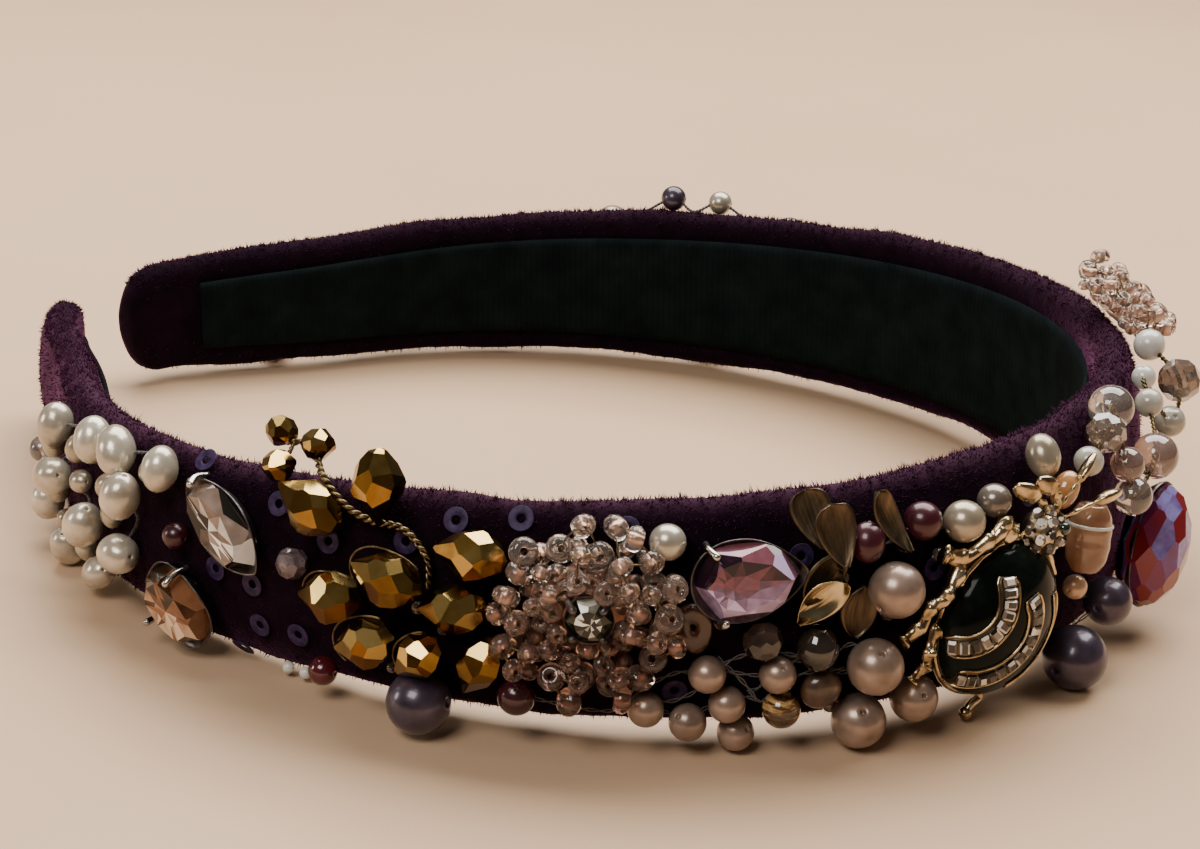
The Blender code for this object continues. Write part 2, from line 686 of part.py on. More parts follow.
def make_insect():
    place = seat(INSECT_ALONG, INSECT_UP, GAP) @ turned(INSECT_TURN)
    back = turned(-INSECT_TURN)
    levels = ((0.92, 0.0), (1.0, 0.4), (1.0, PLATE_THICK))
    rings = [[(x, y, z) for x, y in egg(PLATE_LONG * share, PLATE_WIDE * share)] for share, z in levels]
    plate = finish("insect_frame", loft(rings), "gold", place)
    parts = [tube([back @ Vector(point) for point in leg], LEG_WIDE, 5) for leg in LEGS]
    head = Matrix.Translation(back @ Vector(HEAD))
    parts.append(moved(ball(HEAD_WIDE, sides=SMALL_BEAD_SIDES), head))
    fuse(plate, parts)
    foot = PLATE_THICK + GAP
    rings = []
    for a in (math.radians(angle) for angle in (0, 18, 36, 54, 70, 82)):
        outline = egg(BODY_LONG * math.cos(a), BODY_WIDE * math.cos(a), BODY_BACK)
        rings.append([(x, y, foot + BODY_HIGH * math.sin(a)) for x, y in outline])
    body = finish("insect_body", loft(rings), "enamel", place)
    bands = []
    for band in STONE_BANDS:
        route = [back @ Vector((x, y, 0)) for x, y in band]
        route = [(x, y, foot + max(enamel_height(x, y), BAND_WIDE / 2)) for x, y, _ in route]
        bands.append(tube(route, BAND_WIDE))
    fuse(body, bands)


# Crown beads: clear and pale beads piled at the crown, wired together.
# Columns: along, up, width, lift.
CROWN_BEADS = (
    (12.0, 9.9, 3.4, 0.0),
    (8.6, 12.2, 4.5, 0.3),
    (5.6, 14.0, 5.2, 0.0),
    (5.4, 7.6, 4.0, 0.6),
    (4.2, 3.4, 4.5, 0.4),
    (-1.6, 6.2, 5.4, 0.6),
    (-7.0, 10.4, 3.4, 0.2),
    (-10.5, 12.2, 2.9, 0.0),
    (-15.6, 5.0, 3.8, 1.2),
    (-18.9, 9.0, 5.2, 2.0),
    (-22.7, 12.0, 3.9, 0.3),
)


def make_crown_beads():
    places = [seat(along, up, width / 2 + GAP + lift).translation for along, up, width, lift in CROWN_BEADS]
    shapes = [
        moved(ball(width, sides=STRUNG_BEAD_SIDES), Matrix.Translation(place))
        for (_, _, width, _), place in zip(CROWN_BEADS, places)
    ]
    main = finish("crown_beads", shapes[0], "smoke", Matrix.Identity(4))
    fuse(main, shapes[1:] + [tube(places, 2 * WIRE, 5)])


def make_barrel_bead():
    place = seat(14.4, 2.2, 2.8 + GAP) @ turned(80)
    finish("peach_barrel_bead", barrel(5.6, 7.6), "peach_crystal", place)


# Far side: a plain strung row of pearls that wanders over the outer face, and rises to the band's upper edge
# where two beads show over it. Columns: along, up, width.
FAR_ROW = (
    (-38.0, -1.0, 5.0),
    (-47.0, 3.4, 5.0),
    (-57.0, -1.2, 5.0),
    (-67.0, 3.4, 5.0),
    (-77.0, -1.2, 5.0),
    (-87.0, 3.4, 5.0),
    (-97.0, 7.6, 5.0),
    (-106.0, 12.2, 3.4),
    (-112.6, 12.6, 3.6),
    (-122.0, 7.4, 5.0),
    (-132.0, 1.0, 5.0),
    (-142.0, 3.0, 5.0),
    (-152.0, -1.0, 4.4),
)


def make_far_row():
    places = [seat(along, up, width / 2 + GAP).translation for along, up, width in FAR_ROW]
    shapes = [
        moved(ball(width, sides=STRUNG_BEAD_SIDES), Matrix.Translation(spot))
        for (_, _, width), spot in zip(FAR_ROW, places)
    ]
    main = finish("far_pearl_row", shapes[0], "champagne", Matrix.Identity(4))
    fuse(main, shapes[1:] + [tube(places, 2 * WIRE, 5)])


def settle():
    """Tilts the headband onto its beads, and sets the origin at the middle of its foot."""
    HEADBAND.rotation_euler = (0, -REST_TILT, 0)
    bpy.context.view_layer.update()
    graph = bpy.context.evaluated_depsgraph_get()
    corners = []
    for obj in bpy.context.scene.objects:
        if obj.type == "MESH" and not obj.hide_render:
            solid = obj.evaluated_get(graph)
            flat = np.empty(len(solid.data.vertices) * 3, np.float32)
            solid.data.vertices.foreach_get("co", flat)
            world = np.array(solid.matrix_world)
            points = flat.reshape(-1, 3) @ world[:3, :3].T + world[:3, 3]
            corners += [points.min(axis=0), points.max(axis=0)]
    low, high = np.min(corners, axis=0), np.max(corners, axis=0)
    HEADBAND.location = (-(low[0] + high[0]) / 2, -(low[1] + high[1]) / 2, -low[2])


clear_scene()
HEADBAND = bpy.data.objects.new("headband", None)
bpy.context.scene.collection.objects.link(HEADBAND)
make_band()
make_lining()
make_beads()
make_rice_pearls()
make_stones()
make_drops()
make_spray()
make_flowers()
make_leaves()
make_cup_drop()
make_insect()
make_crown_beads()
make_barrel_bead()
make_far_row()
settle()
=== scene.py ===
"""The beaded velvet headband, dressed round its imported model. Sizes are millimetres on the band's own axes:
along is measured on its middle line from the crown towards the front tip, up from the middle of its width,
and height off the velvet. A piece's own axes are X to the right seen from outside, Y up and Z outwards."""

import math

import bmesh
import bpy
import numpy as np
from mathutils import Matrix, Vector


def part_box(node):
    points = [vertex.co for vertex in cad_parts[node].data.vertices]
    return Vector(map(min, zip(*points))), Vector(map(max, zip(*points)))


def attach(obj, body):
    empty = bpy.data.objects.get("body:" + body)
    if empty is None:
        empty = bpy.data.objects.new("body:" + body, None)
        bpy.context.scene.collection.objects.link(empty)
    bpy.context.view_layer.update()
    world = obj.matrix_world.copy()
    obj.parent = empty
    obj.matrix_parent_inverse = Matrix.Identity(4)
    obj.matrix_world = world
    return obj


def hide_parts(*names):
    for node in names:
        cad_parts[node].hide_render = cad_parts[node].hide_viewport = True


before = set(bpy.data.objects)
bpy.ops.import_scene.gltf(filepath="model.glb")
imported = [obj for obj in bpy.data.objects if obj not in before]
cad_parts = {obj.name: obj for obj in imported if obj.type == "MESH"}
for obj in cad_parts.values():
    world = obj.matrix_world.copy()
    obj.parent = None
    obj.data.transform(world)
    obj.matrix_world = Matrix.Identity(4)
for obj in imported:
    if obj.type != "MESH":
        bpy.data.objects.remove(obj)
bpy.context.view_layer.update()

# The velvet band. A stiff horseshoe band under thin padding, covered in aubergine cotton velvet that is
# pulled round both edges and glued inside. Its plan is an egg whose radius is a sum of cosine waves.
MM = 0.001
PLAN_WAVES = (59.4, 26.9, 9.6, -0.3, 1.3, -0.7)
TIP_ANGLE = math.radians(172.8)
BAND_WIDTH = 27.0
TIP_WIDTH = 15.0
TAPER_POWER = 1.5
TIP_ROUND = 6.0
PAD_OUT = 4.0
PAD_OUT_TIP = 3.0
PAD_IN = 2.3
DOME_POWER = 2.6
EDGE_ROUND = 2.2
REST_TILT = math.radians(2.75)
TIP_POWER = 2.5
TIP_THIN = 0.35
GAP = 0.3
STRAIGHT_UP = np.array([0.0, 0.0, 1.0])


def unit(vectors):
    """The vectors at length one."""
    return vectors / np.linalg.norm(vectors, axis=-1, keepdims=True)


def trace_plan(count=4001):
    """Length along the middle line, its points and its forward direction, from the sum of waves."""
    angle = np.linspace(TIP_ANGLE, -TIP_ANGLE, count)
    radius = sum(size * np.cos(wave * angle) for wave, size in enumerate(PLAN_WAVES))
    x, y = radius * np.cos(angle), radius * np.sin(angle)
    length = np.concatenate([[0.0], np.cumsum(np.hypot(np.diff(x), np.diff(y)))])
    length -= length[-1] / 2
    forward = np.stack([np.gradient(x, length), np.gradient(y, length)], axis=1)
    return length, x, y, unit(forward)


PLAN_LENGTH, PLAN_X, PLAN_Y, PLAN_FORWARD = trace_plan()
ARM = float(PLAN_LENGTH[-1])


def middle(along):
    """Points of the middle line, with the directions right and out there."""
    along = np.asarray(along, float)
    level = np.zeros_like(along)
    x, y = (np.interp(along, PLAN_LENGTH, line) for line in (PLAN_X, PLAN_Y))
    point = np.stack([x, y, level], -1)
    ahead = [np.interp(along, PLAN_LENGTH, PLAN_FORWARD[:, k]) for k in range(2)]
    size = np.hypot(*ahead)
    right = np.stack([-ahead[0] / size, -ahead[1] / size, level], -1)
    return point, right, np.cross(right, STRAIGHT_UP)


def half_width(along):
    """Half the band's width: it narrows towards the tips with a power of the distance."""
    return (BAND_WIDTH - (BAND_WIDTH - TIP_WIDTH) * (np.abs(along) / ARM) ** TAPER_POWER) / 2


def padding(along):
    """How far the padded face stands out of the middle line at its fullest."""
    return PAD_OUT - (PAD_OUT - PAD_OUT_TIP) * (along / ARM) ** 2


def over_velvet(along, foot, height):
    """Points height off the padded face: the dome falls as a root of one less a power of the share up."""
    half = half_width(along)
    share = np.clip(np.abs(foot) / half, 0, 0.9999)
    room = np.sqrt(1 - share**DOME_POWER)
    slope = 0.5 * padding(along) * DOME_POWER * share ** (DOME_POWER - 1) / half / room * np.sign(foot)
    point, right, out = middle(along)
    normal = unit(out + slope[..., None] * STRAIGHT_UP)
    face = point + out * (padding(along) * room)[..., None] + np.asarray(foot, float)[..., None] * STRAIGHT_UP
    return face + normal * np.asarray(height)[..., None], right, normal


def seat(along, up, height):
    """Centres and axes (right, rise, outwards as columns) of pieces whose centres lie at up."""
    along, up, height = np.broadcast_arrays(*(np.asarray(value, float) for value in (along, up, height)))
    low, high = -half_width(along), half_width(along)
    for _ in range(36):
        foot = (low + high) / 2
        centre, right, normal = over_velvet(along, foot, height)
        below = centre[..., 2] < up
        low, high = np.where(below, foot, low), np.where(below, high, foot)
    return centre, np.stack([right, np.cross(normal, right), normal], -1)


def turned(axes, turn=0.0, lean=0.0, nod=0.0):
    """The axes after a turn about Z, a lean about Y and a nod about X, in degrees."""
    a, b, c = (math.radians(value) for value in (turn, lean, nod))
    about_z = np.array([[math.cos(a), -math.sin(a), 0], [math.sin(a), math.cos(a), 0], [0, 0, 1]])
    about_y = np.array([[math.cos(b), 0, math.sin(b)], [0, 1, 0], [-math.sin(b), 0, math.cos(b)]])
    about_x = np.array([[1, 0, 0], [0, math.cos(c), -math.sin(c)], [0, math.sin(c), math.cos(c)]])
    return axes @ about_z @ about_y @ about_x


def woven(rows, columns):
    """Corner numbers of the quads of a grid that closes on itself across its columns."""
    row, column = np.meshgrid(np.arange(rows - 1), np.arange(columns), indexing="ij")
    following = (column + 1) % columns
    first, second = row * columns, (row + 1) * columns
    quads = np.stack([first + column, first + following, second + following, second + column], -1)
    return quads.reshape(-1, 4)


def lofted(rings):
    """A closed skin over an array of rings, with a point in the middle of each end."""
    rows, columns = rings.shape[:2]
    points = np.concatenate([rings.reshape(-1, 3), rings[:1].mean(axis=1), rings[-1:].mean(axis=1)])
    here = np.arange(columns)
    after = (here + 1) % columns
    last = (rows - 1) * columns
    start = np.stack([after, here, np.full(columns, rows * columns)], -1)
    end = np.stack([last + here, last + after, np.full(columns, rows * columns + 1)], -1)
    return points, [woven(rows, columns), start, end]


SINK, RAISE = math.cos(REST_TILT), math.sin(REST_TILT)
TILT = np.array([[SINK, 0, -RAISE], [0, 1, 0], [RAISE, 0, SINK]])


def band_rings(stations, dome_steps=34, flat_steps=14, corner_steps=6):
    """Rings of the padded section: a flat inner face, two rounded edges and a dome, thinned at the tips."""
    share = np.clip(1 - (ARM - np.abs(stations)) / TIP_ROUND, 0, 0.995)
    half = (half_width(stations) * (1 - share**TIP_POWER) ** (1 / TIP_POWER))[:, None]
    thin = (TIP_THIN + (1 - TIP_THIN) * np.sqrt(1 - share**2))[:, None]
    corner = np.minimum(EDGE_ROUND, half * 0.45)
    bend = np.linspace(math.pi / 2, 0, corner_steps + 1)[1:-1]
    swing = np.linspace(0, math.pi, dome_steps + 1)
    flat = (half - corner) * np.linspace(-1, 1, flat_steps)
    full = padding(stations)[:, None]
    out = [
        np.broadcast_to(-PAD_IN * thin, flat.shape),
        -PAD_IN * thin * np.sin(bend),
        full * thin * np.sqrt(np.clip(1 - np.abs(np.cos(swing)) ** DOME_POWER, 0, 1)),
        -PAD_IN * thin * np.sin(bend[::-1]),
    ]
    up = [
        flat,
        half - corner + corner * np.cos(bend),
        half * np.cos(swing),
        corner - half - corner * np.cos(bend[::-1]),
    ]
    out, up = np.concatenate(out, 1), np.concatenate(up, 1)
    point, _, outward = middle(stations)
    return point[:, None] + out[..., None] * outward[:, None] + up[..., None] * STRAIGHT_UP


def find_rest_place():
    """Where the tilted band's own axes stand in the frame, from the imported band's box."""
    low, high = (np.array(corner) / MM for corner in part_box("velvet_band"))
    mine = band_rings(np.linspace(-ARM, ARM, 900)).reshape(-1, 3) @ TILT.T
    bottom, top = mine.min(axis=0), mine.max(axis=0)
    return np.array([high[0] - top[0], (low[1] + high[1] - bottom[1] - top[1]) / 2, low[2] - bottom[2]])


REST_PLACE = find_rest_place()


def settled(points):
    """Band axes in millimetres to the frame in metres."""
    return (points @ TILT.T + REST_PLACE) * MM


def drifting(points, size, seed, waves=28):
    """Smooth noise between about -1 and 1: a sum of sine waves in random directions, near one wavelength."""
    chance = np.random.default_rng(seed)
    way = chance.normal(size=(3, waves))
    way *= 2 * math.pi / size / np.linalg.norm(way, axis=0) * chance.uniform(0.6, 1.4, waves)
    return np.sin(points @ way + chance.uniform(0, 2 * math.pi, waves)).sum(axis=-1) * math.sqrt(2 / waves)


def make_piece(name, shape, finish, nodes=(), smooth=True, shades=None):
    """A piece on the frame: its mesh from points and faces, its finish, ride and replaced nodes."""
    points, faces = shape
    mesh = bpy.data.meshes.new(name)
    corners = [face for group in faces for face in group.tolist()]
    mesh.from_pydata(settled(points).tolist(), [], corners)
    if shades is not None:
        mesh.attributes.new("shade", "FLOAT", "FACE").data.foreach_set("value", shades.astype(np.float32))
    sorted_out = bmesh.new()
    sorted_out.from_mesh(mesh)
    bmesh.ops.recalc_face_normals(sorted_out, faces=sorted_out.faces)
    sorted_out.to_mesh(mesh)
    sorted_out.free()
    if smooth:
        mesh.shade_smooth()
    mesh.materials.append(finish)
    piece = bpy.data.objects.new(name, mesh)
    bpy.context.scene.collection.objects.link(piece)
    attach(piece, "root")
    if nodes:
        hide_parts(*nodes)
    return piece


def new_finish(name, colour, roughness, metallic=0.0, **sockets):
    """A finish on the standard shader; further sockets are given with underscores for spaces."""
    made = bpy.data.materials.new(name)
    made.use_nodes = True
    shader = made.node_tree.nodes["Principled BSDF"]
    shader.inputs["Base Color"].default_value = (*colour, 1.0)
    shader.inputs["Roughness"].default_value = roughness
    shader.inputs["Metallic"].default_value = metallic
    for socket, value in sockets.items():
        shader.inputs[socket.replace("_", " ")].default_value = value
    return made


def node_of(finish, kind, **values):
    """A node in a finish's tree, with its properties and its inputs' values."""
    node = finish.node_tree.nodes.new(kind)
    for key, value in values.items():
        if hasattr(node, key):
            setattr(node, key, value)
        else:
            node.inputs[key.replace("_", " ")].default_value = value
    return node


def colour_from(finish, source, stops):
    """The finish's colour, picked by a value from a ramp whose stops are (place, colour)."""
    tree = finish.node_tree
    ramp = node_of(finish, "ShaderNodeValToRGB")
    while len(ramp.color_ramp.elements) < len(stops):
        ramp.color_ramp.elements.new(0.5)
    for element, (place, colour) in zip(ramp.color_ramp.elements, stops):
        element.position = place
        element.color = (*colour, 1.0)
    tree.links.new(source, ramp.inputs["Fac"])
    tree.links.new(ramp.outputs["Color"], tree.nodes["Principled BSDF"].inputs["Base Color"])


NOISE_ROUGHNESS = 0.55


def noise_in(finish, scale, detail=3.0, stretch=None):
    """Noise on the piece's Object coordinates, its scale in waves a metre, stretched along axes if asked."""
    tree = finish.node_tree
    place = node_of(finish, "ShaderNodeTexCoord").outputs["Object"]
    if stretch:
        mapping = node_of(finish, "ShaderNodeMapping", Scale=stretch)
        tree.links.new(place, mapping.inputs["Vector"])
        place = mapping.outputs["Vector"]
    noise = node_of(finish, "ShaderNodeTexNoise", Scale=scale, Detail=detail, Roughness=NOISE_ROUGHNESS)
    tree.links.new(place, noise.inputs["Vector"])
    return noise.outputs["Fac"]


def clouded(finish, scale, stops, detail=3.0, stretch=None):
    """The finish's colour from noise through a ramp of stops."""
    colour_from(finish, noise_in(finish, scale, detail, stretch), stops)


def grained(finish, scale, strength, deep, detail=3.0, stretch=None):
    """Bump on the shader from noise, its depth in metres."""
    tree = finish.node_tree
    bump = node_of(finish, "ShaderNodeBump", Strength=strength, Distance=deep)
    tree.links.new(noise_in(finish, scale, detail, stretch), bump.inputs["Height"])
    tree.links.new(bump.outputs["Normal"], tree.nodes["Principled BSDF"].inputs["Normal"])


# How much of the velvet's ramp is driven by the painted rim highlight, and the scale of its cloudy noise.
RIM_LIGHT_SHARE, VELVET_CLOUDS = 0.7, 420.0


def velvet_with_rim_light(finish, stops):
    """Velvet's colour from cloudy noise and from the painted rim highlight, a point attribute that is 1 where
    the upper edge is painted brightest and the pile parts most.
    """
    tree = finish.node_tree
    rim_light_here = node_of(finish, "ShaderNodeAttribute", attribute_name="opened")
    noise_share = node_of(finish, "ShaderNodeMath", operation="MULTIPLY")
    tree.links.new(noise_in(finish, VELVET_CLOUDS), noise_share.inputs[0])
    noise_share.inputs[1].default_value = 1 - RIM_LIGHT_SHARE
    both = node_of(finish, "ShaderNodeMath", operation="MULTIPLY_ADD")
    tree.links.new(rim_light_here.outputs["Fac"], both.inputs[0])
    both.inputs[1].default_value = RIM_LIGHT_SHARE
    tree.links.new(noise_share.outputs[0], both.inputs[2])
    colour_from(finish, both.outputs[0], stops)


VELVET_SHEEN = (0.60, 0.20, 0.44, 1.0)
velvet = new_finish(
    "velvet_pile_finish", (0.009, 0.003, 0.008), 0.95,
    Sheen_Weight=0.44, Sheen_Roughness=0.30, Sheen_Tint=VELVET_SHEEN, Specular_IOR_Level=0.05,
)
# The brightest stops are reached only where the painted rim highlight is strong.
velvet_with_rim_light(velvet, (
    (0.09, (0.004, 0.0012, 0.0038)), (0.225, (0.009, 0.0026, 0.008)), (0.50, (0.018, 0.0064, 0.0145)),
    (0.85, (0.038, 0.0145, 0.030))))
grained(velvet, 2600.0, 0.55, 0.0002, 4.0)

BAND_STATIONS, TIP_STATIONS = 860, 22
TIP_CROWDING = 0.7
tip_steps = ARM - TIP_ROUND * (1 - np.linspace(0, 1, TIP_STATIONS) ** TIP_CROWDING)
even_steps = np.linspace(-ARM + TIP_ROUND, ARM - TIP_ROUND, BAND_STATIONS)[1:-1]
stations = np.concatenate([-tip_steps[::-1], even_steps, tip_steps])
rings = band_rings(stations)
away = unit(rings - rings.mean(axis=1, keepdims=True))
PUCKER, PUCKER_SPAN = 0.16, 14.0
RIPPLE, RIPPLE_SPAN = 0.03, 1.9
swell = PUCKER * drifting(rings, PUCKER_SPAN, 1) + RIPPLE * drifting(rings, RIPPLE_SPAN, 2)
padded_skin = lofted(rings + away * swell[..., None])
velvet_cover = make_piece("velvet_cover", padded_skin, velvet, ["velvet_band"])

# The upper edge is painted lighter as a highlight, as if lit from above, and its pile parts there; both are
# strongest on the near arm and least at the tips and on the far arm.
UPPER_EDGE, PARTING_AND_LIGHT_POWER = 0.84, 1.6
REACH_MIDDLE, REACH_SWING, REACH_TURN = 0.66, 0.34, 30.0
REACH_FADE, REACH_LEAST = 45.0, 0.3
rise_share = rings[..., 2] / half_width(stations)[:, None]
parting_and_light_reach = REACH_MIDDLE + REACH_SWING * np.tanh(stations / REACH_TURN)
parting_and_light_reach *= np.clip((ARM - np.abs(stations)) / REACH_FADE, REACH_LEAST, 1)
opened = np.clip((rise_share - UPPER_EDGE) / (1 - UPPER_EDGE), 0, 1) ** PARTING_AND_LIGHT_POWER * parting_and_light_reach[:, None]


def mark_rim_light(piece, values):
    """The painted rim highlight, with the pile's parting, at each point of a velvet piece, for its finish to
    read.
    """
    marks = piece.data.attributes.new("opened", "FLOAT", "POINT")
    marks.data.foreach_set("value", values.astype(np.float32))


# The cover's upper edge is painted lighter: a painted highlight.
mark_rim_light(velvet_cover, np.append(opened.ravel(), (0.0, 0.0)))

# The pile. Cut velvet stands up in tiny tufts, which part over the upper edge into soft clumps and catch the
# light there, where they are also painted lighter as a highlight. Each tuft is a slim three-sided spike set
# in the velvet, leaning with its clump.
tuft_finish = new_finish(
    "velvet_tuft_finish", (0.008, 0.0025, 0.007), 0.95,
    Sheen_Weight=0.13, Sheen_Roughness=0.5, Sheen_Tint=VELVET_SHEEN, Specular_IOR_Level=0.0,
)
# The tufts' brightest stops are reached only in the painted rim highlight.
velvet_with_rim_light(tuft_finish, (
    (0.09, (0.007, 0.0022, 0.0062)), (0.225, (0.014, 0.0045, 0.012)), (0.50, (0.027, 0.0100, 0.0225)),
    (0.85, (0.068, 0.028, 0.056))))
PILE_TUFTS = 46000
PILE_TALL = 0.37
PILE_WIDE = 0.085
PILE_SET = 0.05
CROWD_UPPER, CROWD_ELSEWHERE = 2.0, 0.35
BARE_STATIONS = 8
# These columns of the rings lie under the lining, so they carry no pile.
LINED_COLUMNS = np.arange(3, 11)
chance = np.random.default_rng(11)
row = chance.integers(BARE_STATIONS, len(stations) - BARE_STATIONS, PILE_TUFTS)
upper = rise_share.mean(axis=0) > UPPER_EDGE
bare = np.isin(np.arange(rings.shape[1]), LINED_COLUMNS)
crowd = np.where(upper, CROWD_UPPER, CROWD_ELSEWHERE) * ~bare
column = chance.choice(rings.shape[1], PILE_TUFTS, p=crowd / crowd.sum())
root = rings[row, column] + away[row, column] * (swell[row, column][:, None] - PILE_SET)
along_way = rings[np.minimum(row + 1, len(stations) - 1), column] - rings[row, column]
round_way = rings[row, (column + 1) % rings.shape[1]] - rings[row, column]
root += along_way * chance.random((PILE_TUFTS, 1)) + round_way * chance.random((PILE_TUFTS, 1))
stand = unit(np.cross(along_way, round_way))
stand *= np.sign((stand * away[row, column]).sum(axis=1, keepdims=True))
# Clumps a millimetre or so wide share a lean, and where the pile parts they stand taller and shorter.
CLUMP_WIDE, CLUMP_TUFT = 1.3, 1.1
TUFT_LEAN, CLUMP_LEAN = 0.40, 0.35
OPENED_TALLER, CLUMP_TALLER = 0.3, 0.35
tuft_parting_and_light = opened[row, column]
clump_lean = np.stack([drifting(root, CLUMP_WIDE, seed) for seed in (41, 42, 43)], -1)
lean = chance.normal(scale=TUFT_LEAN, size=(PILE_TUFTS, 3)) + CLUMP_LEAN * clump_lean
clump_tall = 1 + CLUMP_TALLER * np.clip(drifting(root, CLUMP_TUFT, 44), -1, 1) * tuft_parting_and_light
tall = PILE_TALL * (1 + OPENED_TALLER * tuft_parting_and_light) * clump_tall * chance.uniform(0.65, 1.05, PILE_TUFTS)
tip = root + (stand + lean) * tall[:, None]
side = PILE_WIDE * unit(np.cross(stand, chance.normal(size=(PILE_TUFTS, 3))))
other = np.cross(stand, side)
# A spike's root is a triangle, whose two other corners lie half back and this share of its size aside.
ROOT_ASIDE = 0.87
back = root - side / 2
spikes = np.stack([root + side, back + other * ROOT_ASIDE, back - other * ROOT_ASIDE, tip], axis=1)
first = 4 * np.arange(PILE_TUFTS)[:, None]
SPIKE_FACES = ((0, 1, 3), (1, 2, 3), (2, 0, 3), (0, 2, 1))
spike_faces = np.concatenate([first + np.array(face) for face in SPIKE_FACES])
velvet_pile = make_piece("velvet_pile", (spikes.reshape(-1, 3), [spike_faces]), tuft_finish)
# The tufts carry the painted rim highlight too, thrown a little from tuft to tuft.
mark_rim_light(velvet_pile, np.repeat(tuft_parting_and_light * chance.uniform(0.5, 1.0, PILE_TUFTS), 4))

# The lining. Near-black green grosgrain ribbon, glued over the raw edges of the velvet inside the band. Its
# ribs run across its width, and its edges are rounded.
RIBBON_THICK = 0.8
RIBBON_INSET = 3.2
RIBBON_END = 5.0
RIBBON_STATIONS, RIBBON_COLUMNS = 1500, 15
EDGE_DROP, EDGE_POWER = 0.75, 14
RIB_PITCH = 0.85
RIB_DEEP = 0.07
ribbon = new_finish("grosgrain_finish", (0.003, 0.006, 0.005), 0.85, Specular_IOR_Level=0.04)
clouded(ribbon, 260.0, ((0.3, (0.0024, 0.0046, 0.0052)), (0.8, (0.0060, 0.0104, 0.0112))))
grained(ribbon, 1700.0, 0.5, 0.0001, 2.0, (1.0, 1.0, 3.0))
ribbon_stops = ARM - TIP_ROUND - RIBBON_END
ribbon_at = np.linspace(-ribbon_stops, ribbon_stops, RIBBON_STATIONS)
ribbon_half = (half_width(ribbon_at) - RIBBON_INSET)[:, None]
across = np.linspace(-1, 1, RIBBON_COLUMNS)
around = np.concatenate([across, across[::-1]])
face_out = np.repeat((0.0, 1.0), RIBBON_COLUMNS)
edge_soft = (1 - EDGE_DROP * np.abs(around) ** EDGE_POWER) * (face_out * 2 - 1)
rib = RIB_DEEP * np.cos(2 * math.pi * ribbon_at / RIB_PITCH)[:, None] * face_out
depth = -PAD_IN - GAP - RIBBON_THICK / 2 - edge_soft * RIBBON_THICK / 2 - rib
point, _, outward = middle(ribbon_at)
ribbon_rings = point[:, None] + depth[..., None] * outward[:, None]
ribbon_rings = ribbon_rings + (ribbon_half * around)[..., None] * STRAIGHT_UP
lining = make_piece("grosgrain_lining", lofted(ribbon_rings), ribbon, ["lining_ribbon"])

# Sequins. Cupped purple rings, stitched flat through a wide hole between the beads, a few of them also on
# the far arm.
SEQUIN_WIDE, SEQUIN_LIFT, SEQUIN_SIDES = 2.7, 0.25, 22
SEQUINS = (
    (115.3, 10.4), (103.6, 8.6), (106.8, -1.1), (106.3, -5.9), (101.2, -5.8), (88.2, 7.4), (83.1, 10.1),
    (76.4, 10.8), (65.7, 10.3), (112.0, -0.6), (110.5, -10.2), (97.0, 6.0), (34.6, -2.0), (34.0, 3.4),
    (61.0, -7.4), (48.6, 7.0), (-44.0, 8.4), (-62.0, -6.4), (-72.0, 9.0), (-84.0, -7.6), (-100.0, 0.6),
    (-118.0, -5.8), (-128.0, 7.4), (-147.0, 6.4), (120.6, -10.6), (18.0, -8.6), (21.0, 8.4),
)


def full_turn(count):
    """Angles in even steps round a circle."""
    return np.linspace(0, 2 * math.pi, count, endpoint=False)


def closed_loop(rings):
    """A skin over rings of which the last is joined to the first."""
    count, sides = rings.shape[:2]
    return rings.reshape(-1, 3), [woven(count + 1, sides) % (count * sides)]


def revolved(profile, sides, closed=True):
    """A skin round Z: each (radius, height) of the profile is a ring; the profile is a loop unless closed
    is false, and then its ends lie on the axis."""
    profile = np.asarray(profile, float)
    turn = full_turn(sides)
    ring = np.stack([np.cos(turn), np.sin(turn), np.zeros(sides)], -1)
    rings = profile[:, 0, None, None] * ring + profile[:, 1, None, None] * STRAIGHT_UP
    if closed:
        return closed_loop(rings)
    points, faces = lofted(rings[1:-1])
    points[-2], points[-1] = (0, 0, profile[0, 1]), (0, 0, profile[-1, 1])
    return points, faces


def strewn(shape, centres, axes, scale=1.0):
    """Copies of a shape, one at each centre on its own axes, as one shape."""
    points, faces = shape
    centres, axes = np.asarray(centres, float), np.asarray(axes, float)
    scale = np.broadcast_to(np.asarray(scale, float), (len(centres),))
    moved = centres[:, None] + np.einsum("nij,pj->npi", axes, points) * scale[:, None, None]
    first = (np.arange(len(centres)) * len(points))[:, None, None]
    return moved.reshape(-1, 3), [(group[None] + first).reshape(-1, group.shape[1]) for group in faces]


def joined(shapes):
    """Several shapes as one."""
    points, faces, first = [], [], 0
    for shape in shapes:
        points.append(shape[0])
        faces += [group + first for group in shape[1]]
        first += len(shape[0])
    return np.concatenate(points), faces


sequin_finish = new_finish("purple_sequin_finish", (0.05, 0.03, 0.09), 0.5, 0.1, Specular_IOR_Level=0.22)
clouded(sequin_finish, 1400.0, ((0.35, (0.012, 0.006, 0.030)), (0.7, (0.045, 0.022, 0.082))))
# The sequin's section: radius and height as shares of half its width.
SEQUIN_LOOP = (
    (0.36, 0.10), (0.62, 0.02), (1.0, 0.16), (1.02, 0.24), (0.98, 0.26), (0.62, 0.13), (0.40, 0.20),
)
sequin = revolved(np.array(SEQUIN_LOOP) * SEQUIN_WIDE / 2, SEQUIN_SIDES)
sequin_along, sequin_up = np.array(SEQUINS).T
spots, axes = seat(sequin_along, sequin_up, SEQUIN_LIFT)
make_piece("purple_sequins", strewn(sequin, spots, axes), sequin_finish)

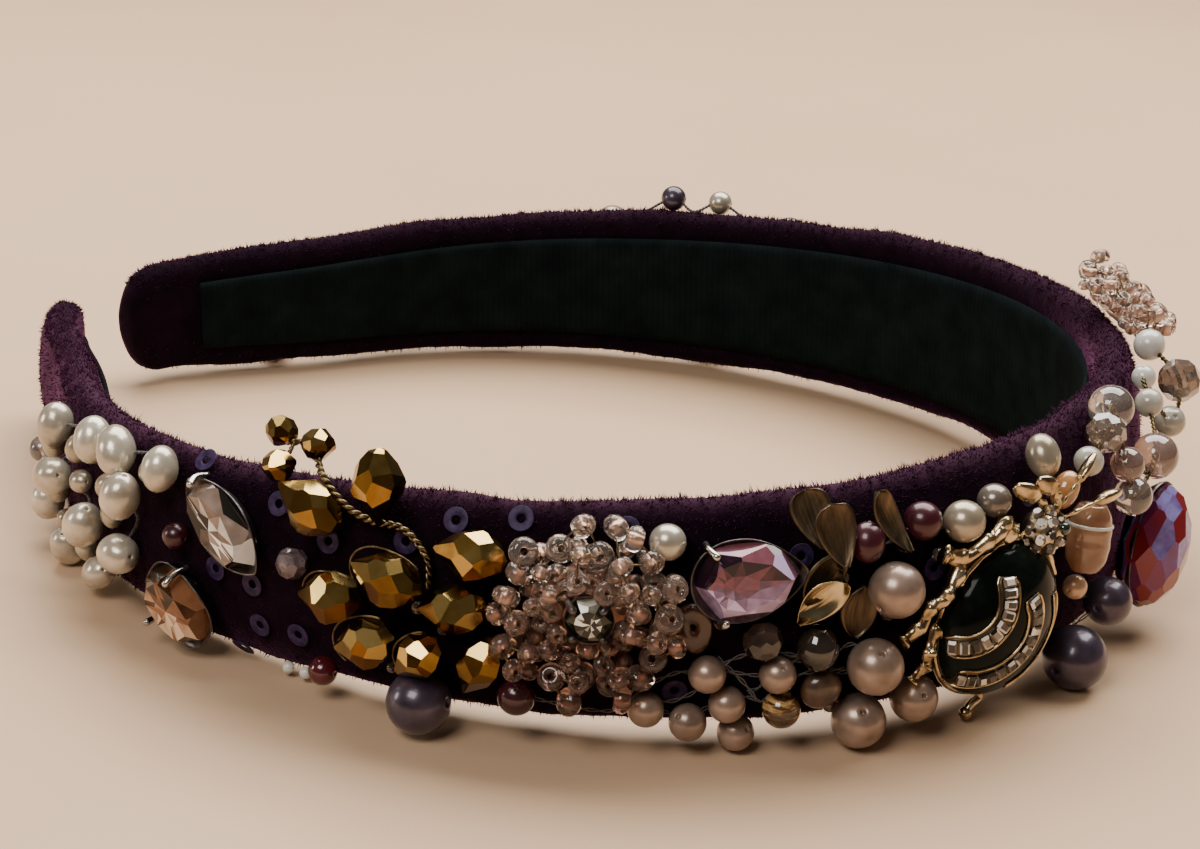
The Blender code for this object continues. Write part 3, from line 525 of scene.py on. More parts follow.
# Pearls. Glass beads under pearl lacquer, sewn down through their holes, which show as small dark dimples.
# Columns: node, finish, turn of the hole in the plane of the velvet, tip of the hole out of it.
PEARLS = (
    ("ivory_pearl", "ivory", 0, 0),
    ("small_pearl_1", "champagne", 20, 10),
    ("small_pearl_2", "champagne", 128, 14),
    ("small_pearl_3", "champagne", 5, 10),
    ("small_pearl_4", "champagne", 60, 20),
    ("small_pearl_5", "champagne", 80, 38),
    ("small_pearl_6", "champagne", -10, 5),
    ("large_pearl_1", "champagne", 30, -15),
    ("large_pearl_2", "champagne", 96, 36),
    ("large_pearl_3", "champagne", 100, 20),
    ("large_pearl_4", "champagne", 96, 44),
    ("champagne_pearl", "cream", 15, 0),
    ("bronze_pearl", "bronze_grey", 30, 0),
    ("small_peach_pearl", "peach", 0, 0),
    ("grey_pearl_left", "grey_purple", 10, 0),
    ("grey_pearl_right_1", "grey_purple", 0, 0),
    ("grey_pearl_right_2", "grey_purple", 10, 0),
    ("garnet_bead_low", "dark_garnet", 0, 0),
    ("small_garnet_bead", "garnet", 0, 0),
    ("crimson_bead", "crimson", 0, 0),
    ("garnet_pearl_2", "garnet", 12, 0),
    ("far_pearl_1", "grey_purple", 0, 0),
    ("far_pearl_2", "champagne", 0, 0),
    ("far_pearl_3", "champagne", 0, 0),
)
# Oval pearls. Columns: node, finish, width, length, turn.
OVAL_PEARLS = (
    ("garnet_pearl_1", "garnet", 3.8, 4.4, 80),
    ("grey_oval_pearl", "cream", 3.8, 5.0, 78),
)
# Columns: shaded colour, lit colour, roughness, how metallic the lacquer looks, slot in the record.
LACQUERS = {
    "ivory": ((0.33, 0.29, 0.22), (0.62, 0.57, 0.47), 0.27, 0.55, "ivory"),
    "cream": ((0.25, 0.20, 0.14), (0.50, 0.43, 0.33), 0.27, 0.55, "ivory"),
    "champagne": ((0.18, 0.125, 0.095), (0.43, 0.315, 0.255), 0.32, 0.5, "champagne"),
    "peach": ((0.50, 0.30, 0.18), (0.72, 0.50, 0.34), 0.26, 0.3, "champagne"),
    "bronze_grey": ((0.14, 0.11, 0.09), (0.30, 0.26, 0.22), 0.22, 0.5, "grey_purple"),
    "grey_purple": ((0.030, 0.022, 0.038), (0.085, 0.064, 0.100), 0.32, 0.4, "grey_purple"),
    "garnet": ((0.020, 0.0015, 0.005), (0.062, 0.006, 0.015), 0.34, 0.3, "garnet"),
    "dark_garnet": ((0.018, 0.003, 0.006), (0.07, 0.012, 0.02), 0.2, 0.1, "garnet"),
    "crimson": ((0.03, 0.003, 0.006), (0.12, 0.012, 0.02), 0.15, 0.0, "garnet"),
}


def pearl_lacquer(name):
    """Pearl lacquer: cloudy colour under a clear coat, with the faintest ripple."""
    shade, light, roughness, metallic, _ = LACQUERS[name]
    made = new_finish(f"{name}_lacquer", light, roughness, metallic, Coat_Weight=0.4, Coat_Roughness=0.10)
    clouded(made, 330.0, ((0.25, shade), (0.72, light)), 2.0)
    grained(made, 900.0, 0.12, 0.0001, 2.0)
    return made


lacquers = {name: pearl_lacquer(name) for name in LACQUERS}


def pearl_shape(width, length=None, sides=34, rows=22, hole=0.13):
    """A pearl drilled on X: a circle turned round the axis, drawn in at each pole into a dimple."""
    length = length or width
    start = math.asin(hole)
    slope = np.linspace(start, math.pi - start, rows)
    body = np.stack([np.sin(slope), -np.cos(slope)], -1)
    dimple = np.array([(hole * 0.80, 0.955), (hole * 0.62, 0.86), (0.0, 0.74)])
    profile = np.concatenate([dimple[::-1] * (1, -1), body, dimple])
    points, faces = revolved(profile * (width / 2, length / 2), sides, closed=False)
    return points[:, [2, 0, 1]], faces


def unsettled(point):
    """A point of the frame in metres back to the band's axes in millimetres."""
    return (np.asarray(point) / MM - REST_PLACE) @ TILT


def sewn_at(node, steps=201):
    """Centre, axes and size of a packed bead: the axes stand on the velvet nearest to its box's middle."""
    low, high = (np.array(corner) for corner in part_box(node))
    centre = unsettled((low + high) / 2)
    along = PLAN_LENGTH[np.hypot(PLAN_X - centre[0], PLAN_Y - centre[1]).argmin()]
    feet = half_width(along) * np.linspace(-0.999, 0.999, steps)
    spots, right, _ = over_velvet(np.full(steps, along), feet, np.zeros(steps))
    nearest = np.linalg.norm(spots - centre, axis=1).argmin()
    outward = centre - spots[nearest]
    outward = unit(outward - right[nearest] * (outward @ right[nearest]))
    axes = np.stack([right[nearest], np.cross(outward, right[nearest]), outward], -1)
    return centre, axes, float((high - low).max() / MM)


for node, tint, turn, tip_out in PEARLS:
    centre, axes, size = sewn_at(node)
    shape = strewn(pearl_shape(size), [centre], [turned(axes, turn, -tip_out)])
    make_piece(f"{node}_bead", shape, lacquers[tint], [node])
for node, tint, width, length, turn in OVAL_PEARLS:
    centre, axes, _ = sewn_at(node)
    shape = strewn(pearl_shape(width, length), [centre], [turned(axes, turn)])
    make_piece(f"{node}_bead", shape, lacquers[tint], [node])

# Rice pearls. Long ivory freshwater-style pearls near the front tip, each a little uneven, strung on one
# thread that is caught down between them. Columns: along, up, width, length, turn, lift.
RICE_PEARLS = (
    (119.4, 9.3, 4.2, 5.2, 100, 0.0),
    (126.9, 9.4, 4.6, 6.0, 120, 0.3),
    (132.5, 8.9, 4.4, 5.6, 100, 0.0),
    (143.3, 7.1, 4.2, 5.6, 95, 0.0),
    (140.8, 1.9, 4.6, 5.6, 20, 0.6),
    (132.6, -1.2, 4.8, 5.8, 60, 0.3),
    (124.4, 5.1, 4.6, 5.6, 75, 0.6),
    (125.6, -2.3, 4.6, 5.6, 10, 0.3),
    (132.9, -7.6, 3.9, 5.2, 30, 0.0),
    (142.8, -8.1, 4.2, 5.4, 60, 0.0),
    (150.4, -5.2, 4.1, 5.0, 80, 0.0),
)
PINK_CRYSTAL = (156.3, -0.8, 3.4)


def flowing(points, count):
    """A smooth line through the points: on each span a cubic whose end slopes are the mean of the spans."""
    points = np.asarray(points, float)
    t = np.linspace(0, len(points) - 1, count)
    k = np.clip(t.astype(int), 0, len(points) - 2)
    f = (t - k)[:, None]
    slope = np.gradient(points, axis=0)
    start = (2 * f**3 - 3 * f**2 + 1) * points[k] + (f**3 - 2 * f**2 + f) * slope[k]
    return start + (3 * f**2 - 2 * f**3) * points[k + 1] + (f**3 - f**2) * slope[k + 1]


def wire_frames(path):
    """Directions across and over at each point of a path: over keeps to the path's flattest way."""
    ahead = np.gradient(path, axis=0)
    ahead /= np.linalg.norm(ahead, axis=1, keepdims=True) + 1e-9
    flattest = np.linalg.svd(path - path.mean(axis=0))[2][-1]
    across = np.cross(ahead, flattest)
    across /= np.linalg.norm(across, axis=1, keepdims=True) + 1e-9
    return across, np.cross(across, ahead)


def length_along(path):
    """How far along a path each of its points lies."""
    return np.concatenate([[0.0], np.cumsum(np.linalg.norm(np.diff(path, axis=0), axis=1))])


def wire(path, radius, sides=8, flatten=1.0):
    """A wire along a path: rings square to it, of a radius that may change, with closed ends."""
    across, over = wire_frames(path)
    turn = full_turn(sides)
    radius = np.broadcast_to(np.asarray(radius, float), (len(path),))[:, None, None]
    ring = np.cos(turn)[:, None] * across[:, None] + flatten * np.sin(turn)[:, None] * over[:, None]
    return lofted(path[:, None] + ring * radius)


def twisted(path, radius, pitch, strands=2, sides=6, thick=None):
    """Strands wound round a path: each follows it on a small circle that turns once in every pitch."""
    thick = thick or radius * 1.02
    across, over = wire_frames(path)
    length = length_along(path)
    wound = []
    for strand in range(strands):
        turn = (2 * math.pi * (length / pitch + strand / strands))[:, None]
        wound.append(wire(path + radius * (np.cos(turn) * across + np.sin(turn) * over), thick, sides))
    return joined(wound)


def caught_down(spots, places, height):
    """A thread's points: through each bead, and down to a height off the velvet between it and the next."""
    places = np.array(places)
    low = seat(*((places[1:] + places[:-1]) / 2).T, height)[0]
    return [spot for pair in zip(spots, low) for spot in pair] + spots[-1:]


rice_shapes, rice_spots = [], []
for number, (along, up, width, length, turn, lift) in enumerate(RICE_PEARLS):
    centre, axes = seat(along, up, width / 2 + GAP + lift)
    points, faces = pearl_shape(width, length, hole=0.1)
    points = points * (1 + 0.018 * drifting(points + 9.0 * number, 4.0, 5))[:, None]
    rice_shapes.append(strewn((points, faces), [centre], [turned(axes, turn)]))
    rice_spots.append(centre)
rice_lacquer = new_finish(
    "rice_pearl_lacquer", (0.7, 0.64, 0.54), 0.27, 0.5, Coat_Weight=0.35, Coat_Roughness=0.10,
)
clouded(rice_lacquer, 260.0, ((0.28, (0.38, 0.32, 0.24)), (0.7, (0.72, 0.66, 0.55))))
grained(rice_lacquer, 520.0, 0.3, 0.0003)
make_piece("rice_pearls", joined(rice_shapes), rice_lacquer, ["rice_pearl_cluster"])
# Smaller pearls fill the cluster between the long ones, in the darker cream lacquer as a painted shade for
# pearls set lower in the cluster. Columns: along, up, width, length, turn.
RICE_BETWEEN = (
    (129.6, 4.2, 3.0, 3.6, 40), (137.8, 6.0, 3.0, 3.8, 70), (136.6, 2.4, 2.8, 3.4, 15),
    (129.0, 1.0, 2.8, 3.4, 95),
    (138.0, -2.6, 3.0, 3.8, 50), (129.4, -5.0, 3.0, 3.6, 20), (146.6, -2.2, 3.0, 3.8, 75),
    (147.4, 3.2, 2.9, 3.6, 90),
    (137.6, -6.4, 2.8, 3.4, 110), (145.8, -6.0, 2.6, 3.2, 30), (122.4, 8.0, 2.6, 3.2, 60),
    (151.4, -1.2, 2.8, 3.6, 85),
)
between_shapes = []
for along, up, width, length, turn in RICE_BETWEEN:
    centre, axes = seat(along, up, width / 2 - 0.25)
    between_shapes.append(strewn(pearl_shape(width, length, hole=0.1), [centre], [turned(axes, turn)]))
# The darker cream lacquer here is a painted shade.
make_piece("rice_pearls_between", joined(between_shapes), lacquers["cream"])

thread_finish = new_finish("grey_thread_finish", (0.16, 0.14, 0.13), 0.75, Sheen_Weight=0.3)
clouded(thread_finish, 2400.0, ((0.3, (0.025, 0.022, 0.020)), (0.8, (0.12, 0.105, 0.095))))
rice_spots.append(seat(*PINK_CRYSTAL[:2], 1.7)[0])
rice_path = caught_down(rice_spots, [row[:2] for row in (*RICE_PEARLS, PINK_CRYSTAL)], 0.35)
make_piece("rice_pearl_thread", twisted(flowing(rice_path, 400), 0.11, 1.0), thread_finish)

# Each facet's colour is painted: painted light from a fixed direction and painted reflections off the foil
# and the back facets.
# Cut stones. Pressed glass with foil behind it, each in a pale metal cup with claws bent over the girdle.
# A stone is what is left inside its facet planes: a table, two rows of crown facets, a girdle and a back.
# Columns: node, outline, along, up, length, width, height, turn, lift, claw angles.
STONES = (
    ("navette_stone", "navette", 109.3, 5.6, 13.4, 7.2, 4.2, -38, 0.0, (144,)),
    ("peach_cushion_stone", "cushion", 116.2, -5.6, 10.2, 8.8, 4.6, -40, 0.0, (104, 262)),
    ("flower_chaton", "round", 69.1, 2.2, 5.2, 5.2, 3.0, 0, 2.0, (45, 135, 225, 315)),
    ("amethyst_stone", "pear", 54.2, 5.9, 12.4, 10.4, 4.8, 4, 0.0, (130, 236)),
    ("shimmer_crystal", "round", -4.4, -6.0, 15.0, 9.6, 6.2, 72, 0.0, ()),
)
OUTLINE_POWERS = {"navette": (1.0, 1.5), "cushion": (0.72, 0.72), "round": (1.0, 1.0), "pear": (1.0, 1.0)}


def stone_outline(outline, length, width, count=240):
    """The girdle's outline: an oval whose cosine and sine are raised to powers, drawn in at a pear's tip."""
    a = full_turn(count)
    c, s = np.cos(a), np.sin(a)
    long_power, wide_power = OUTLINE_POWERS[outline]
    x = np.sign(c) * np.abs(c) ** long_power
    y = np.sign(s) * np.abs(s) ** wide_power
    if outline == "pear":
        y = s * (1 - 0.32 * (1 + c) / 2 - 0.25 * np.clip(c, 0, 1) ** 2)
    return np.stack([x * length / 2, y * width / 2], -1)


def cut_by_planes(normals, reaches):
    """The solid inside planes (outward normal, distance from the middle): three neighbouring planes, found
    as a face of the hull of normal over distance, meet in each corner, and the corners' hull is the stone."""
    dual = bmesh.new()
    duals = (normals / reaches[:, None]).round(9).tolist()
    marks = {tuple(spot): number for number, spot in enumerate(duals)}
    verts = [dual.verts.new(spot) for spot in marks]
    order = {vert: number for vert, number in zip(verts, marks.values())}
    bmesh.ops.convex_hull(dual, input=verts)
    corners = []
    for face in dual.faces:
        trio = [order[vert] for vert in face.verts if vert in order]
        if len(trio) == 3 and abs(np.linalg.det(normals[trio])) > 1e-5:
            corners.append(np.linalg.solve(normals[trio], reaches[trio]))
    dual.free()
    stone = bmesh.new()
    corners = np.unique(np.round(corners, 5), axis=0)
    found = bmesh.ops.convex_hull(stone, input=[stone.verts.new(corner) for corner in corners])
    spare = set(found["geom_interior"] + found["geom_unused"])
    loose = [item for item in spare if isinstance(item, bmesh.types.BMVert)]
    bmesh.ops.delete(stone, geom=loose, context="VERTS")
    bmesh.ops.dissolve_limit(stone, angle_limit=math.radians(1.0), verts=stone.verts, edges=stone.edges)
    stone.verts.index_update()
    points = np.array([vert.co[:] for vert in stone.verts])
    faces = [np.array([[vert.index for vert in face.verts]]) for face in stone.faces]
    stone.free()
    return points, faces


def facet_ring(outline_points, count, pitch, level, scale, offset=0.0):
    """A ring of facet planes: each leans back by pitch and touches the scaled outline at a level."""
    a = 2 * math.pi * (np.arange(count) + offset) / count
    flat = np.stack([np.cos(a), np.sin(a)], -1)
    reach = (outline_points * scale @ flat.T).max(axis=0)
    b = math.radians(pitch)
    normals = np.concatenate([flat * math.cos(b), np.full((count, 1), math.sin(b))], axis=1)
    return normals, reach * math.cos(b) + level * math.sin(b)


def cut_by_rows(rows, table, floor):
    """The stone inside rows of facet planes, with a flat table above its middle and a flat floor below."""
    normals = np.concatenate([row[0] for row in rows] + [[STRAIGHT_UP, -STRAIGHT_UP]])
    return cut_by_planes(normals, np.concatenate([row[1] for row in rows] + [[table, floor]]))


def cut_stone(outline, length, width, height, facets=12):
    """A cut stone about its own middle: back, girdle, main crown facets, star facets and table."""
    rim = stone_outline(outline, length, width)
    girdle = 0.06 * height
    rows = (
        facet_ring(rim, facets * 2, 0, 0, 1.0, 0.5),
        facet_ring(rim, facets, 34, girdle, 1.0),
        facet_ring(rim, facets, 46, girdle, 1.0, 0.5),
        facet_ring(rim, facets // 2, 22, height * 0.33, 0.72, 0.5),
        facet_ring(rim, facets, -42, -girdle, 1.0, 0.5),
    )
    return cut_by_rows(rows, height * 0.42, height * 0.42)


def split_table(shape, seed, middle_share=0.52):
    """The table split into a star round a hub and kites between its points, to carry painted reflections of
    the back facets that show through it.
    """
    points, faces = shape
    chance = np.random.default_rng(seed)
    top = points[:, 2].max()
    heights = [points[group[0], 2] for group in faces]
    flat_on_top = [np.ptp(level) < 1e-6 and level[0] > top - 1e-4 for level in heights]
    table = flat_on_top.index(True)
    rim = faces[table][0]
    after = np.roll(rim, -1)
    across = points[rim[0]] - points[rim[len(rim) // 2]]
    hub = points[rim].mean(axis=0) + across * chance.uniform(-0.12, 0.12)
    mids = hub + ((points[rim] + points[after]) / 2 - hub) * middle_share
    own = len(points) + np.arange(len(rim))
    before = np.roll(own, 1)
    centre = np.full(len(rim), len(points) + len(rim))
    kites = ((rim, after, own), (rim, own, before), (before, own, centre))
    split = [np.stack(corners, -1) for corners in kites]
    return np.concatenate([points, mids, hub[None]]), faces[:table] + faces[table + 1:] + split


# The direction of the painted light on a stone's facets, on axes that look out of the velvet: from outside
# and a little above.
OUTSIDE_LIGHT = (0.1, 0.5, 0.85)
SIDE_LIGHT = (0.55, 0.1, 0.85)


def facet_shades(
    shape, axes, seed, light=OUTSIDE_LIGHT, spread=0.3, low_painted_light=0.0, table_spread=0.5, base=0.5,
):
    """A painted brightness for each facet: painted light by how far it faces the light, a throw for the
    painted reflections its foil gives back, and a given share more for the lower facets, a painted glint.
    What shows through the table, painted reflections of the back facets, is thrown by table_spread alone."""
    points, faces = shape
    chance = np.random.default_rng(seed)
    upward = axes.T @ STRAIGHT_UP
    reach = np.abs(points @ upward).max()
    shades = []
    for group in faces:
        corners = points[group]
        normal = np.cross(corners[:, 1] - corners[:, 0], corners[:, 2] - corners[:, 0])
        centre = corners.mean(axis=1) - points.mean(axis=0)
        normal *= np.sign((normal * centre).sum(axis=1))[:, None]
        normal /= np.linalg.norm(normal, axis=1, keepdims=True) + 1e-12
        facing = normal @ np.array(light) / np.linalg.norm(light)
        shade = base + 0.42 * facing + chance.normal(scale=spread, size=len(group))
        thrown = 0.44 + table_spread * chance.uniform(-1, 1, len(group))
        shade = np.where(normal[:, 2] > 0.9999, thrown, shade)
        shades.append(shade - low_painted_light * (corners.mean(axis=1) @ upward) / reach)
    return np.clip(np.concatenate(shades), 0, 1)


def painted_facet_glass(name, stops, metallic=0.2, roughness=0.08, gloss=0.35):
    """Glass with painted facets: each facet's painted light and reflection picks its colour, under a clear
    hard gloss.
    """
    made = new_finish(name, stops[-1][1], roughness, metallic, Coat_Weight=gloss, Coat_Roughness=0.02)
    shade = node_of(made, "ShaderNodeAttribute", attribute_name="shade")
    mixed = node_of(made, "ShaderNodeMath", operation="MULTIPLY_ADD")
    made.node_tree.links.new(noise_in(made, 500.0, 2.0), mixed.inputs[0])
    mixed.inputs[1].default_value = 0.35
    made.node_tree.links.new(shade.outputs["Fac"], mixed.inputs[2])
    colour_from(made, mixed.outputs[0], stops)
    return made


STONE_FINISHES = {
    "navette_stone": painted_facet_glass("clear_foiled_glass", (
        (0.34, (0.012, 0.010, 0.008)), (0.50, (0.11, 0.075, 0.055)), (0.70, (0.30, 0.22, 0.18)),
        (1.0, (0.93, 0.91, 0.88))), gloss=0.15),
    "peach_cushion_stone": painted_facet_glass("peach_foiled_glass", (
        (0.30, (0.022, 0.009, 0.004)), (0.50, (0.13, 0.050, 0.021)), (0.78, (0.30, 0.13, 0.06)),
        (1.1, (0.90, 0.66, 0.46))), gloss=0.15),
    "flower_chaton": painted_facet_glass("chaton_foiled_glass", (
        (0.50, (0.008, 0.008, 0.006)), (0.72, (0.09, 0.09, 0.065)), (0.88, (0.42, 0.42, 0.34)),
        (1.05, (0.95, 0.95, 0.88))), gloss=0.12),
    "amethyst_stone": painted_facet_glass("amethyst_foiled_glass", (
        (0.26, (0.016, 0.006, 0.015)), (0.40, (0.15, 0.045, 0.065)), (0.56, (0.24, 0.085, 0.115)),
        (0.66, (0.10, 0.055, 0.10)), (0.80, (0.26, 0.17, 0.31)), (1.1, (0.66, 0.52, 0.84)))),
    "shimmer_crystal": painted_facet_glass("shimmer_coated_glass", (
        (0.10, (0.035, 0.004, 0.018)), (0.32, (0.10, 0.010, 0.048)), (0.50, (0.13, 0.04, 0.24)),
        (0.64, (0.28, 0.25, 0.60)), (0.76, (0.15, 0.02, 0.10)), (1.0, (0.22, 0.014, 0.02)))),
}
silver = new_finish("silver_cup_finish", (0.62, 0.60, 0.56), 0.22, 1.0)
clouded(silver, 700.0, ((0.3, (0.36, 0.34, 0.31)), (0.75, (0.78, 0.76, 0.72))))
grained(silver, 1500.0, 0.15, 0.0001)


def claw_shape(height, size=0.42):
    """A claw bent over the girdle: a short round bar that rises and leans inwards, ending in a ball."""
    rise = height * np.array([-0.30, 0.12, 0.42, 0.48])
    path = flowing(np.stack([(0.25, 0.38, -0.2, -0.75), np.zeros(4), rise], -1), 14)
    thick = size * np.array([0.8, 0.8, 0.8, 0.8, 0.82, 0.84, 0.88, 0.92, 0.98, 1.04, 1.06, 1.0, 0.8, 0.4])
    return wire(path, thick, 10)


def stepped(outlines, levels):
    """A closed skin over flat outlines, each lifted to its level."""
    pairs = zip(outlines, levels)
    return lofted(np.array([np.column_stack([flat, np.full(len(flat), level)]) for flat, level in pairs]))


def cup_shape(outline, length, width, height):
    """The stone's cup: a wall round the girdle's outline with a rolled rim and a flat floor."""
    rim = stone_outline(outline, length, width, 60)
    steps = (
        (0.02, -0.5), (0.60, -0.5), (0.86, -0.30), (0.99, -0.08), (1.015, 0.0), (1.0, 0.03),
        (0.97, 0.0), (0.8, -0.2), (0.02, -0.3),
    )
    return stepped([rim * share for share, _ in steps], [level * height for _, level in steps])


def rose_cut(length, width, height):
    """A domed stone of facet rings that touch half an egg, over a shallow back."""
    normals = [np.array([[0.0, 0.0, 1.0], [0.0, 0.0, -1.0]])]
    for number, (pitch, count) in enumerate(((8, 16), (30, 12), (52, 9), (73, 5), (-40, 14))):
        a = 2 * math.pi * (np.arange(count) + number % 2 / 2) / count
        b = np.full(count, math.radians(pitch))
        normals.append(np.stack([np.cos(b) * np.cos(a), np.cos(b) * np.sin(a), np.sin(b)], -1))
    normals = np.concatenate(normals)
    tall = np.where(normals[:, 2] > 0, height * 0.5, height * 0.42)
    sizes = np.stack([np.full(len(tall), length / 2), np.full(len(tall), width / 2), tall], -1)
    return cut_by_planes(normals, np.linalg.norm(normals * sizes, axis=1) * 0.97)


dull_silver = new_finish("dull_silver_cup", (0.22, 0.20, 0.20), 0.34, 1.0)
clouded(dull_silver, 700.0, ((0.3, (0.04, 0.035, 0.035)), (0.75, (0.17, 0.15, 0.15))))
# Columns: painted facet brightness, how much brighter the low ones are painted, how unlike the table's
# painted parts, the direction of the painted light, the claws' finish and the nod.
STONE_LOOKS = {
    "navette_stone": (0.10, 0.34, 0.50, OUTSIDE_LIGHT, silver, 0),
    "peach_cushion_stone": (-0.04, 0.40, 0.34, OUTSIDE_LIGHT, silver, 0),
    "flower_chaton": (-0.05, 0.0, 0.50, OUTSIDE_LIGHT, dull_silver, 0),
    "amethyst_stone": (0.36, 0.72, 0.15, SIDE_LIGHT, silver, 0),
    "shimmer_crystal": (0.5, 0.40, 0.0, OUTSIDE_LIGHT, dull_silver, -20),
}
for node, outline, along, up, length, width, height, turn, lift, claws in STONES:
    base, low_painted_light, table_spread, light, claw_finish, nod = STONE_LOOKS[node]
    centre, axes = seat(along, up, GAP + lift + height / 2)
    axes = turned(axes, turn, 0, nod)
    if node == "shimmer_crystal":
        gem = rose_cut(length, width, height * 1.3)
    else:
        gem = split_table(cut_stone(outline, length * 0.97, width * 0.97, height), len(node))
    shades = facet_shades(gem, axes, len(node) * 7, light, 0.3, low_painted_light, table_spread, base)
    gem = strewn(gem, [centre], [axes])
    make_piece(f"{node}_cut", gem, STONE_FINISHES[node], [node], False, shades)
    rim = stone_outline(outline, length, width)
    cup = strewn(cup_shape(outline, length, width, height), [centre], [axes])
    make_piece(f"{node}_cup", cup, dull_silver)
    bars = []
    for claw in claws:
        spot = rim[int(claw / 360 * len(rim)) % len(rim)]
        way = math.degrees(math.atan2(spot[1], spot[0]))
        foot = centre + axes @ np.array([spot[0], spot[1], 0.0])
        bars.append(strewn(claw_shape(height), [foot], [turned(axes, way)]))
    if bars:
        make_piece(f"{node}_claws", joined(bars), claw_finish)

# Faceted drops. Glass with a bronze mirror coating, cut in broad facets, each sewn down on a loop of thin
# gold wire. Columns: node, along, up, length, width, turn, lift.
DROPS = (
    ("gold_drop_1", 95.4, 1.2, 7.4, 5.4, 5, 0.0),
    ("gold_drop_2", 89.0, 4.6, 8.0, 5.2, -15, 0.6),
    ("gold_drop_3", 91.8, -3.6, 7.2, 5.2, 20, 0.0),
    ("gold_drop_4", 85.7, -3.6, 6.0, 4.6, 40, 1.4),
    ("gold_drop_5", 80.7, 7.9, 7.6, 4.8, -5, 0.0),
    ("gold_drop_6", 82.4, 1.9, 7.6, 5.0, 8, 0.0),
    ("gold_drop_7", 79.9, -4.4, 7.4, 4.6, 62, 0.0),
)


def cut_drop(length, width, seed, sides=6):
    """A cut drop along X: rings of planes that touch a pointed body, whose radius is a power of a sine that
    is fullest nearer one end; each ring is turned from the last."""
    chance = np.random.default_rng(seed)
    u = np.linspace(0, 1, 80)
    radius = width / 2 * np.sin(math.pi * u**1.25) ** 0.85
    place = (u - 0.5) * length
    normals, reaches = [], []
    for number, pitch in enumerate((-58, -34, -10, 14, 34, 60)):
        count = sides + number % 2 if abs(pitch) < 50 else 4
        a = 2 * math.pi * (np.arange(count) + number % 2 / 2 + chance.uniform(-0.16, 0.16, count)) / count
        b = np.radians(pitch + chance.uniform(-5, 5, count))
        way = np.stack([np.sin(b), np.cos(b) * np.cos(a), np.cos(b) * np.sin(a)], -1)
        reach = (place * way[:, :1] + radius * np.cos(b)[:, None]).max(axis=1)
        normals.append(way)
        reaches.append(reach * chance.uniform(0.94, 1.0, count))
    return cut_by_planes(np.concatenate(normals), np.concatenate(reaches))


# The drops' facet colours are painted light and reflections, picked by each facet's shade.
mirror_bronze = painted_facet_glass("bronze_mirror_coating", (
    (0.15, (0.035, 0.016, 0.004)), (0.40, (0.13, 0.050, 0.012)), (0.62, (0.20, 0.092, 0.020)),
    (0.85, (0.33, 0.20, 0.048)), (1.1, (0.54, 0.37, 0.12))), metallic=1.0, roughness=0.18, gloss=0.0)
gold_wire = new_finish("thin_gold_wire", (0.42, 0.32, 0.18), 0.32, 1.0)
clouded(gold_wire, 900.0, ((0.3, (0.06, 0.042, 0.02)), (0.75, (0.27, 0.20, 0.105))))


def on_body_axes(axes):
    """The direction of the painted facet light, which comes from above and outside, on a piece's own axes."""
    return tuple(axes.T @ (0.85 * STRAIGHT_UP + 0.35 * axes[:, 2]))


def mirrored_drop(name, drop, centre, axes, seed, nodes):
    """A drop of mirrored glass as a piece, with painted light and reflection facet by facet."""
    shades = facet_shades(drop, axes, seed, on_body_axes(axes), 0.16)
    make_piece(name, strewn(drop, [centre], [axes]), mirror_bronze, nodes, False, shades)


placed_drops = {}
for number, (node, along, up, length, width, turn, lift) in enumerate(DROPS):
    centre, axes = seat(along, up, width / 2 + GAP + lift)
    axes = turned(axes, turn)
    placed_drops[node] = centre, axes, length, width
    drop = cut_drop(length * 1.1, width * 1.04, 40 + number)
    mirrored_drop(f"{node}_cut", drop, centre, axes, number, [node])

# Four of them show a wire loop round one side. Columns: node, how wide the loop is.
WIRED_DROPS = (("gold_drop_2", 0.98), ("gold_drop_3", 1.0), ("gold_drop_4", 0.9), ("gold_drop_1", 0.86))
bend = np.linspace(0.25 * math.pi, 1.2 * math.pi, 60)[:, None]
loops = []
for node, reach in WIRED_DROPS:
    centre, axes, length, width = placed_drops[node]
    side = reach * (length / 2 + 0.5) * np.cos(bend) * axes[:, 0]
    side = side + reach * (width / 2 + 0.45) * np.sin(bend) * axes[:, 1]
    loops.append(wire(centre + side - 0.6 * np.abs(np.cos(bend)) * axes[:, 2], 0.11, 6))
make_piece("drop_wire_loops", joined(loops), gold_wire)

# The spray. A stem of two gold wires twisted together, holding two long drops and three small faceted beads
# that stand above the band's upper edge. Columns of the stem: along, up, height off the velvet.
SPRAY_STEM = (
    (104.8, 15.9, 3.6),
    (101.0, 15.0, 3.6),
    (97.8, 13.3, 3.2),
    (94.5, 10.6, 2.2),
    (91.6, 9.4, 1.6),
    (88.2, 9.0, 1.4),
    (85.6, 6.4, 1.2),
    (85.4, 3.0, 1.0),
)
